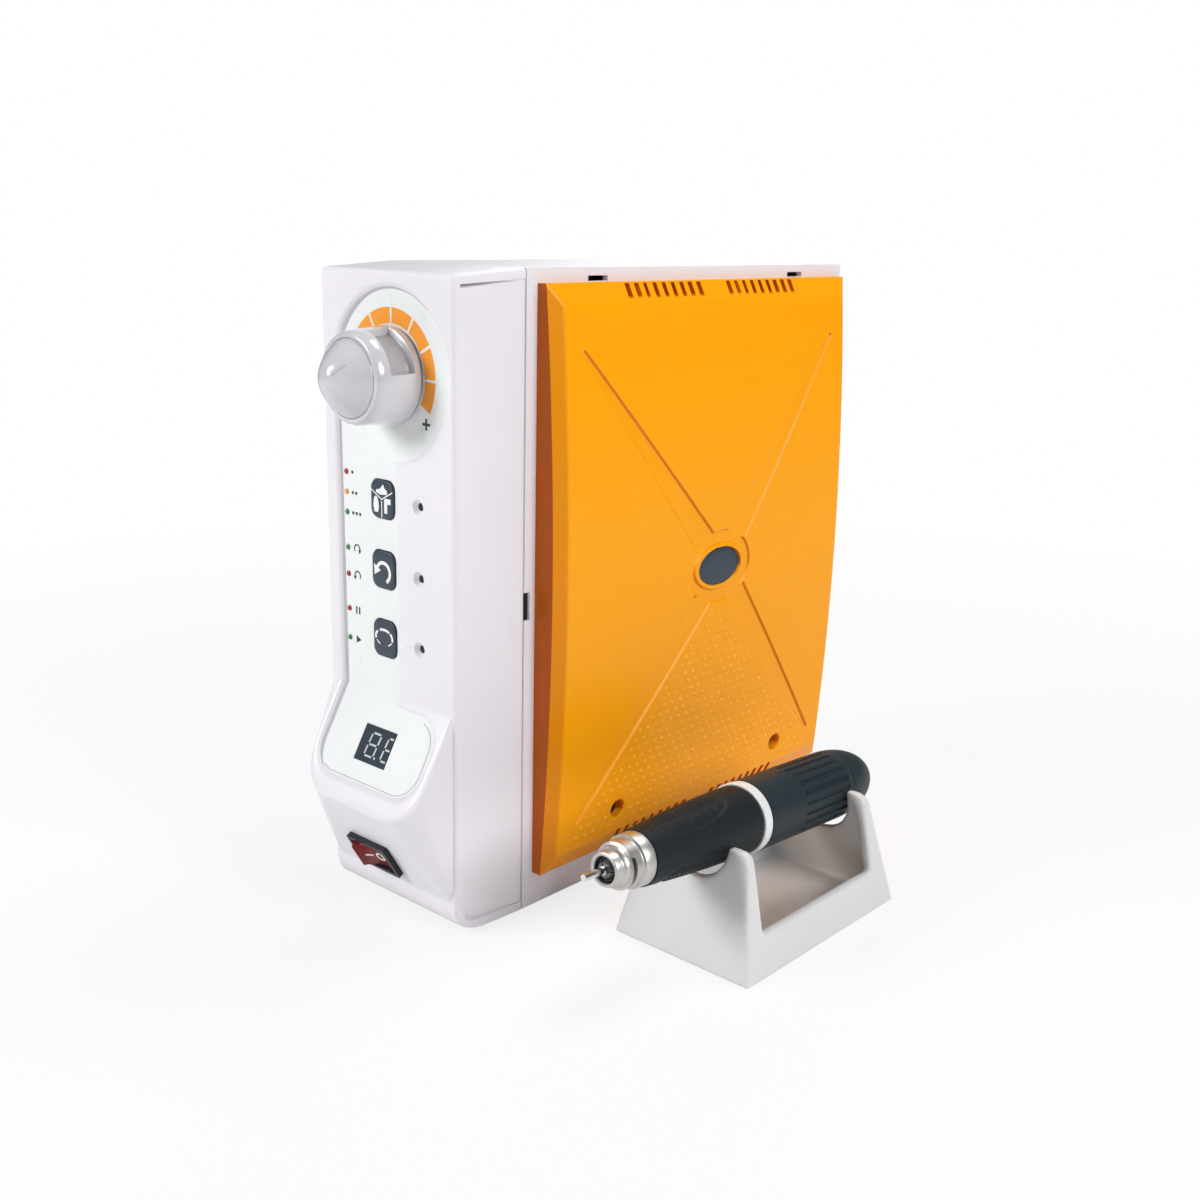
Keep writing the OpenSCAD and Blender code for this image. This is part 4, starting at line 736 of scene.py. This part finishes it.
def keys():
    """The three keys: control by foot, hand or knee, direction, and cruise."""
    reach = KEY_W / 2 - 0.3
    stem = bar(0, -KEY_H / 4 - 0.1, 0.4, KEY_H / 2 - 0.6)
    fork = [(0.0, 0.3), (-reach, 3.3), (-reach, 2.85), (0.0, -0.15), (reach, 2.85), (reach, 3.3)]
    shoe = [(-3.0, 2.3), (-0.6, 1.6), (2.9, 2.0), (2.9, 3.2), (1.5, 4.1), (0.9, 5.4), (0.1, 4.6), (-0.9, 3.7),
            (-2.8, 3.2)]
    palm = [(-3.9, -4.6), (-2.0, -4.6), (-1.5, -3.0), (-1.7, -0.9), (-2.4, 0.7), (-3.2, 1.0), (-4.0, 0.2),
            (-4.4, -2.2)]
    bent = [(1.3, -4.6), (2.9, -4.6), (2.9, -1.3), (4.7, -1.3), (4.7, 0.6), (1.9, 0.6), (1.3, 0.1)]
    key_pad("mode_key", KEY_Z[0], [stem, fork, shoe, palm, bent])
    key_pad("direction_key", KEY_Z[1], turn_arrow(0.2, -0.9, 3.5, 1.25, -62, 152, 3.3))
    ring = [oval_part(0, 0.4, 4.9, 3.3, 0.9, a, b) for a, b in ((50, 120), (138, 196), (-16, 42))]
    ring += [oval_part(0, 0.4, 4.5, 3.2, 0.45, a, b) for a, b in ((205, 240), (300, 335))]
    key_pad("cruise_key", KEY_Z[2], ring)


def label_prints():
    first, last, each, gap = -31, 209, 30, 1.3
    scale = [ring_part(DIAL_X, DIAL_Z, 17.0, 22.2, a + gap, a + each - gap) for a in range(first, last, each)]
    flat_marks("dial_scale", scale, INK_ORANGE)
    sign_x, sign_z, reach, half = 17.4, DIAL_Z - 14.6, 1.9, 0.45
    plus, quarter = [], [(reach, -half), (reach, half), (half, half)]
    for turn in range(4):
        plus += [(DIAL_X + sign_x + u, sign_z + v) for u, v in quarter]
        quarter = [(-v, u) for u, v in quarter]
    marks = [plus, bar(DIAL_X - sign_x, sign_z, 2 * reach, 2 * half)]
    x = LED_X + 3.2
    for i, row in enumerate(MODE_ROWS):
        marks += [disc(x + 1.9 * k, row, 0.6) for k in range(i + 1)]
    for row, a0, a1 in ((TURN_ROWS[0], 215, -10), (TURN_ROWS[1], -35, 190)):
        marks += turn_arrow(x + 1.7, row, 1.5, 0.55, a0, a1, 1.4)
    marks += [bar(x + u, CRUISE_ROWS[0], 0.75, 2.7) for u in (0.7, 2.3)]
    marks.append([(x + u, CRUISE_ROWS[1] + v) for u, v in ((0.3, -1.4), (2.9, 0), (0.3, 1.4))])
    flat_marks("label_marks", marks, INK_DARK)


def shade_line(cx, cy, r, a1, n, fade, left, foot):
    """A line from a straight foot round an arc from 180 degrees to a1, where it thins out."""
    wide, thin = 1.7, 0.15
    angles = np.linspace(180, a1, n)
    widths = thin + (wide - thin) * smooth(np.abs(angles - a1) / fade)
    inner = [arc_points(cx, cy, r - w, a, a, 1)[0] for a, w in zip(angles, widths)]
    return [(left, foot)] + arc_points(cx, cy, r, 180, a1, n) + inner[::-1] + [(left + wide, foot)]


def paint_label_shade():
    """Painted shade: grey lines where the label meets the wall of its recess, widest on the left, and a thin
    one along the panel's lower and right edges.
    """
    inset, hair, hair_in, lap, lift = 1.6, 0.3, 2.7, 0.3, 0.08
    r = DIAL_R + DIAL_FLARE
    face = shade_line(DIAL_X, DIAL_Z, r - inset, 50, 40, 100, STRIP_LEFT + inset, POD_TOP - lap)
    flat_marks("label_edge_front", [face], SHADE_LINE_GREY, lift=lift)
    r = PANEL_R
    left, right, low = PANEL_X - PANEL_W / 2 + r, PANEL_X + PANEL_W / 2 - r, -PANEL_TOP - PANEL_H + r
    side = shade_line(left, low, r - inset, 262, 16, 70, left - r + inset, lap)
    arcs = ((left, low, 240, 270), (right, low, 270, 360), (right, -PANEL_TOP - r, 0, 75))
    outer, inner = ([p for cx, cy, a0, a1 in arcs for p in arc_points(cx, cy, r - hair_in - w, a0, a1)]
                    for w in (0, hair))
    lines = [side, outer + inner[::-1]]
    flat_marks("label_edge_slope", lines, SHADE_LINE_GREY, place=on_slope, lift=lift - LABEL_DEPTH)


def dimple_hole_shade():
    """Painted shade: black plugs at the bottom of the dimples' holes, so that the holes read dark."""
    rings = ((TRIM_R + 0.35, -3.4), (TRIM_R + 0.35, -0.5), (0.5, -0.45))
    screws = [[at_height(disc(TRIM_X, kz, r, 24), lift) for r, lift in rings] for kz in KEY_Z]
    stacked("dimple_hole_shade", screws, on_label, BLACK, BOX)


def seam_notch_shade():
    """Painted shade: a black plate behind the notch in the seam, so that the notch reads dark."""
    half, r, wide, thick, deep = 4.9, 0.4, 1.6, 0.2, 0.75
    y, z = SEAM + 1.9, COVER_Z - 4
    outline = arc_points(y, z + half - r, r, 0, 90, 4) + [(y - wide, z + half), (y - wide, z - half)]
    outline += arc_points(y, z + r - half, r, 270, 360, 4)
    plate = [at_height(outline, -deep - thick), at_height(outline, -deep)]
    stacked("seam_notch_shade", [plate], on_side, BLACK, BOX)


def lamp_lenses(name, node, rows, material):
    profile = ((1.0, -0.5), (1.0, 0.1), (0.88, 0.42), (0.6, 0.62), (0.25, 0.7))
    lenses = [[at_height(disc(LED_X, z, r, 24), lift) for r, lift in profile] for z in rows]
    stacked(name, lenses, on_label, material, BOX, (node,))


def display():
    """The smoked window with two unlit figures behind it."""
    rings = []
    for inset, lift in ((0.0, -0.5), (0.0, 0.05), (0.15, 0.18)):
        w, h = WINDOW_W - 2 * inset, WINDOW_H - 2 * inset
        outline = rounded_rect(WINDOW_X, -WINDOW_DOWN, w, h, WINDOW_R - inset, 5)
        rings.append(at_height(outline, lift - LABEL_DEPTH))
    stacked("display_pane", [rings], on_slope, WINDOW, BOX, ("display_window",))
    figure_w, figure_h, stroke, lean, edge = 4.7, 8.4, 0.7, 0.08, WINDOW_W / 2 - 0.5
    long, wide = figure_h / 2 - stroke * 1.5, figure_w - stroke * 1.5
    figure = [bar(s * figure_w / 2, q * figure_h / 4, stroke, long) for s in (-1, 1) for q in (-1, 1)]
    figure += [bar(0, q * figure_h / 2, wide, stroke) for q in (-1, 0, 1)]
    figure.append(disc(figure_w / 2 + 1.1, -figure_h / 2, 0.45, 10))
    marks = []
    for middle in (-1.2, 7.4):
        for part in figure:
            shape = [(middle + u + lean * v, v) for u, v in part]
            left, right = min(u for u, v in shape), max(u for u, v in shape)
            if right - edge <= 0.8 * (right - left):
                marks.append([(WINDOW_X + min(u, edge), v - WINDOW_DOWN) for u, v in shape])
    flat_marks("display_figures", marks, SEGMENT, place=on_slope, lift=0.21 - LABEL_DEPTH)


def rocker():
    """Rocker with two hollowed faces, leaning to its off side, with a bar and a ring printed on it."""
    half, rows, end, soft, hollow = (BEZEL_W - 4) / 2, (BEZEL_H - 4) / 2, 1.2, 0.25, 0.45
    crest, valley = BEZEL_T + 2.3, BEZEL_T + 0.7
    ca, sa = cos(ROCK_ANGLE), sin(ROCK_ANGLE)

    def face(u):
        t = abs(u) / (half - end)
        return valley + (crest - valley) * t - hollow * sin(pi * min(1, t))

    def lean(points):
        return on_switch([(u * ca + w * sa, v, PIVOT_Z - u * sa + w * ca) for u, v, w in points])

    outline = [(u, face(u)) for u in np.linspace(half - end, end - half, 33)]
    outline += [(0.2 - half, 1.0), (2.5 - half, -2.0), (half - 2.5, -2.0), (half - 0.2, 1.0)]
    layers = ((-rows, soft), (soft - rows, 0.0), (rows - soft, 0.0), (rows, soft))
    rings = [[(u * (1 - inset / half), v, w - inset * (w > 0)) for u, w in outline] for v, inset in layers]
    stacked("rocker_skin", [rings], lean, RED, "power_rocker", ("rocker",), sharp=50)
    marks = [bar(u, 0, 1.68, 0.75) for u in (-3.4, -1.7)]
    marks += [ring_part(2.6, 0, 1.35, 2.05, a, a + 29.6, 4) for a in range(0, 360, 30)]
    flat_marks("rocker_marks", marks, INK_WHITE, "power_rocker", lean, lambda u, v: face(u) + 0.05)


# Handpiece

def motor_half():
    """The held half: grooved motor case, domed rear cap and trim ring."""
    groove_n, groove_half, groove_deep, groove_long = 22, 0.75, 0.8, 31.0

    def grooves(radius, height, phi):
        off = np.abs((phi * groove_n / tau + 0.5) % 1 - 0.5) * tau * CASE_R / groove_n
        ends = smooth((height - CASE_BACK - 1.6) / 0.8) * smooth((CASE_BACK + groove_long - height) / 1.6)
        cut = smooth((groove_half + 0.25 - off) / 0.5) * ends * (radius > CASE_R - 0.1)
        return radius - groove_deep * cut

    inner, collar = CASE_R - 1.9, 7.7
    case = [(inner, CASE_FRONT), (CASE_R - 0.35, CASE_FRONT), (CASE_R, CASE_FRONT - 0.35)]
    case += [(CASE_R, h) for h in np.linspace(CASE_FRONT - 1.5, CASE_BACK + 0.4, 84)]
    case += [(CASE_R - 0.2, CASE_BACK), (inner, CASE_BACK)]
    turned("motor_case_skin", case, CASE, "motor_half", ("motor_case",), steps=440,
           shape=grooves)

    end = acos((PORT_R + 1) / CASE_R)
    depth = (CASE_BACK - DOME_BACK) / sin(end)
    cap = [(PORT_R + 2, CASE_BACK), (CASE_R - 0.25, CASE_BACK), (CASE_R - 0.05, CASE_BACK - 0.25)]
    cap += [(CASE_R * cos(a), CASE_BACK - depth * sin(a)) for a in np.linspace(0, end, 40)[1:]]
    cap += [(PORT_R + 0.4, DOME_BACK), (PORT_R, DOME_BACK + 0.4)]
    cap += [(PORT_R, CASE_BACK - 12), (PORT_R + 2, CASE_BACK - 12)]
    turned("rear_cap_skin", cap, CASE, "motor_half", ("rear_cap",))

    ring = [(collar, CASE_FRONT), (RING_R - 0.3, CASE_FRONT), (RING_R, CASE_FRONT + 0.3),
            (RING_R, RING_FRONT - 0.3), (RING_R - 0.3, RING_FRONT), (collar, RING_FRONT)]
    turned("trim_ring_skin", ring, SATIN, "motor_half", ("trim_ring",))


def grip_half():
    """The twisting half: rubber grip with thumb pads, and a steel nose with a slot."""
    pads, pad_at, pad_long, pad_wide, pad_deep = (75, -45, 195), 48.0, 19.5, 6.8, 0.32
    rib_high, rib_pitch = 0.34, 2.1

    def thumb_pads(radius, height, phi):
        out = radius.copy()
        for centre in pads:
            off = (phi - radians(centre) + pi) % tau - pi
            u, v = (height - pad_at) / pad_long, np.abs(off * radius / pad_wide)
            k = np.hypot(u, v)
            field = smooth((1 - k) / 0.10)
            ribs = smooth(np.cos((height - pad_at) * tau / rib_pitch) * 1.6 - 0.2)
            ribs *= smooth((v - 0.10) / 0.06) * smooth((0.74 - v) / 0.08) * smooth((0.86 - k) / 0.06)
            out += (rib_high * ribs - pad_deep * field) * (radius > 9.0)
        return out

    bore, narrows, long = 8.7, GRIP_R_BACK - GRIP_R_FRONT, GRIP_FRONT - GRIP_BACK
    grip = [(bore, GRIP_BACK), (GRIP_R_BACK - 0.5, GRIP_BACK)]
    grip += [(GRIP_R_BACK - narrows * s ** 1.8, GRIP_BACK + long * s) for s in np.linspace(0, 1, 220)[1:]]
    grip += [(GRIP_R_FRONT - 0.35, GRIP_FRONT), (bore, GRIP_FRONT)]
    turned("grip_skin", grip, RUBBER, "grip_half", ("grip_rubber",), steps=256,
           shape=thumb_pads)

    slot_at, slot_half, slot_back, slot_wide, slot_deep = radians(-10), radians(48), 6.3, 0.8, 2.6

    def slot(radius, height, phi):
        off = np.abs((phi - slot_at + pi) % tau - pi)
        along = np.abs(height - NOSE_FRONT + slot_back)
        cut = smooth((slot_half - off) / 0.12) * smooth((slot_wide - along) / 0.3)
        return radius - slot_deep * cut * (radius > 7.0)

    bore, collar, neck, neck_end = 6.3, GRIP_R_FRONT - 0.4, GRIP_FRONT + 5.5, NOSE_FRONT - 5.4
    nose = [(bore, GRIP_FRONT)]
    nose += shifted(collar, GRIP_FRONT, ((-0.15, 0), (0, 0.15), (-0.15, 4.7), (-0.35, 5.0), (-0.85, 5.3),
                                         (-0.95, 5.5)))
    nose += [(collar - 0.95 - 0.3 * s, neck + (neck_end - neck) * s) for s in np.linspace(0.05, 1, 16)]
    nose += shifted(NOSE_R, NOSE_FRONT, ((1.05, -5.0), (1.0, -4.4), (0.6, -3.5), (0.1, -3.1), (0, -2.8),
                                         (0, -0.8), (-0.25, -0.25), (-0.8, 0)))
    nose += shifted(0, NOSE_FRONT, ((4.75, 0), (4.45, -0.4), (4.45, -8), (bore, -8)))
    turned("nose_skin", nose, STEEL, "grip_half", ("nose_cone",), steps=192, shape=slot)
    # Painted shade: a black ring behind the nose's slot, so that the slot reads dark.
    dark = ((5.8, -7.4), (6.5, -7.4), (6.6, -7.2), (6.6, -5.6), (6.5, -5.4), (5.8, -5.4))
    turned("nose_slot_shade", shifted(0, NOSE_FRONT, dark), BLACK, "grip_half", steps=96)


# Carried-over CAD nodes

def dress_the_rest():
    """Soft edges for the plain CAD nodes in view, and materials for the rest."""
    dressed("rear_shell", SHELL, 0.5, 3)
    dressed("switch_housing", BLACK, 0.5)
    dressed("mains_inlet", BLACK, 0.5)
    dressed("handpiece_socket", STEEL, 0.3)
    dressed("pedal_jack", STEEL, 0.3)
    dressed("rubber_feet", FOOT, 0.3)
    dressed("cover_screws", BLACK, 0.2)
    softened("cradle", CRADLE, 0.8, 14)
    plain = {
        LABEL: "control_label display_module", BOARD: "control_board power_board",
        BLACK: "key_switches power_transistors cord_socket brush_holders", BLUE: "trim_pots capacitors",
        STEEL: "potentiometer pot_nut shell_screws board_screws transformer_clamp pot_shaft rear_bearing "
               "front_bearings release_ring",
        BLUED: "spindle", BRIGHT: "tool_shank", DULL: "collet", IRON: "transformer_core stator_magnets",
        COPPER: "transformer_coil rotor commutator", ALU: "heat_sink motor_can spindle_tube front_sleeve",
        CARBON: "carbon_brushes", BRASS: "brush_springs",
    }
    for material, nodes in plain.items():
        for node in nodes.split():
            mesh = frame["nodes"][node].data
            mesh.materials.clear()
            mesh.materials.append(material)


# Studio

def light(name, at, size, watts):
    data = bpy.data.lights.new(name, "AREA")
    data.shape, data.size, data.energy = "DISK", size, watts
    made = linked(name, data)
    made.location = at
    made.rotation_euler = (Vector((0, 0, 0.1)) - made.location).to_track_quat("-Z", "Y").to_euler()


def backdrop():
    """A white background, and a soft light from it that is strongest from above."""
    world = bpy.data.worlds.new("studio")
    bpy.context.scene.world = world
    world.use_nodes = True
    tree = world.node_tree
    background = tree.nodes["Background"]
    fill(background, {"Color": (1, 1, 1, 1)})
    seen = new_node(tree, "LightPath")
    shown = new_node(tree, "Math", operation="MAXIMUM")
    way = new_node(tree, "TexCoord")
    side = new_node(tree, "VectorMath", {1: Vector((-0.6, 0.3, 0.75)).normalized()}, "DOT_PRODUCT")
    soft = new_node(tree, "MapRange", {"From Min": -0.5, "From Max": 1.0, "To Min": 0.04, "To Max": 0.20})
    level = new_node(tree, "MapRange", {"To Max": 1.0})
    join(tree, (seen.outputs["Is Camera Ray"], shown.inputs[0]),
         (seen.outputs["Is Transmission Ray"], shown.inputs[1]),
         (way.outputs["Generated"], side.inputs[0]), (side.outputs["Value"], soft.inputs["Value"]),
         (shown.outputs["Value"], level.inputs["Value"]), (soft.outputs["Result"], level.inputs["To Min"]),
         (level.outputs["Result"], background.inputs["Strength"]))


def pale_floor():
    """A floor that keeps the object's shadow and fades into the white background."""
    size = 3.0
    mesh = bpy.data.meshes.new("floor")
    mesh.from_pydata([(u, v, 0) for u, v in bar(0, 0, 2 * size, 2 * size)], [], [(0, 1, 2, 3)])
    floor = linked("floor", mesh)
    pale = surface("floor_pale", (236, 236, 236), 0.6, 0.004, 300, bump=0.0)
    mesh.materials.append(pale)
    tree = pale.node_tree
    seen = new_node(tree, "LightPath")
    spot = new_node(tree, "TexCoord")
    away = new_node(tree, "VectorMath", operation="LENGTH")
    fade = new_node(tree, "MapRange", {"From Min": 0.2, "From Max": 0.7, "To Min": 0.78, "To Max": 1.0})
    share = new_node(tree, "Math", operation="MULTIPLY")
    glow = new_node(tree, "Emission")
    blend = new_node(tree, "MixShader")
    join(tree, (spot.outputs["Object"], away.inputs[0]), (away.outputs["Value"], fade.inputs["Value"]),
         (seen.outputs["Is Camera Ray"], share.inputs[0]), (fade.outputs["Result"], share.inputs[1]),
         (share.outputs["Value"], blend.inputs["Fac"]),
         (tree.nodes["Principled BSDF"].outputs["BSDF"], blend.inputs[1]),
         (glow.outputs["Emission"], blend.inputs[2]),
         (blend.outputs["Shader"], tree.nodes["Material Output"].inputs["Surface"]))


def studio():
    bpy.context.scene.view_settings.view_transform = "Standard"
    backdrop()
    pale_floor()
    light("key", (-0.65, -1.2, 0.75), 0.6, 14.6)
    light("fill", (1.25, 0.0, 0.75), 0.7, 11.9)
    light("top", (0.1, 0.45, 1.3), 0.5, 6.4)
    light("back", (-0.9, 1.2, 0.9), 0.6, 4.0)


def camera():
    az, el, roll = (radians(a) for a in (CAMERA_AZ, CAMERA_EL, CAMERA_ROLL))
    back = Vector((sin(az) * cos(el), -cos(az) * cos(el), sin(el)))
    right = (-back).cross(Vector((0, 0, 1))).normalized()
    up = right.cross(-back)
    right, up = right * cos(roll) + up * sin(roll), up * cos(roll) - right * sin(roll)
    data = bpy.data.cameras.new("photo_camera")
    data.sensor_width = SENSOR
    data.lens = SENSOR * CAMERA_FOCUS_PX / FRAME_PX
    data.clip_start, data.clip_end = 0.05, 20
    made = linked("photo_camera", data)
    place = Matrix((right, up, back)).transposed().to_4x4()
    place.translation = Vector(metres(CAMERA_TARGET)[0]) + back * CAMERA_DIST * MM
    made.matrix_world = place
    bpy.context.scene.camera = made


front_shell()
side_cover()
cover_dots()
cover_badge()
knob()
keys()
label_prints()
lamp_lenses("red_lenses", "leds_red", [MODE_ROWS[0], TURN_ROWS[1], CRUISE_ROWS[0]], LAMP_RED)
lamp_lenses("green_lenses", "leds_green", [MODE_ROWS[2], TURN_ROWS[0], CRUISE_ROWS[1]], LAMP_GREEN)
lamp_lenses("amber_lens", "led_amber", [MODE_ROWS[1]], LAMP_AMBER)
paint_label_shade()
dimple_hole_shade()
seam_notch_shade()
display()
rocker()
motor_half()
grip_half()
dress_the_rest()
studio()
camera()
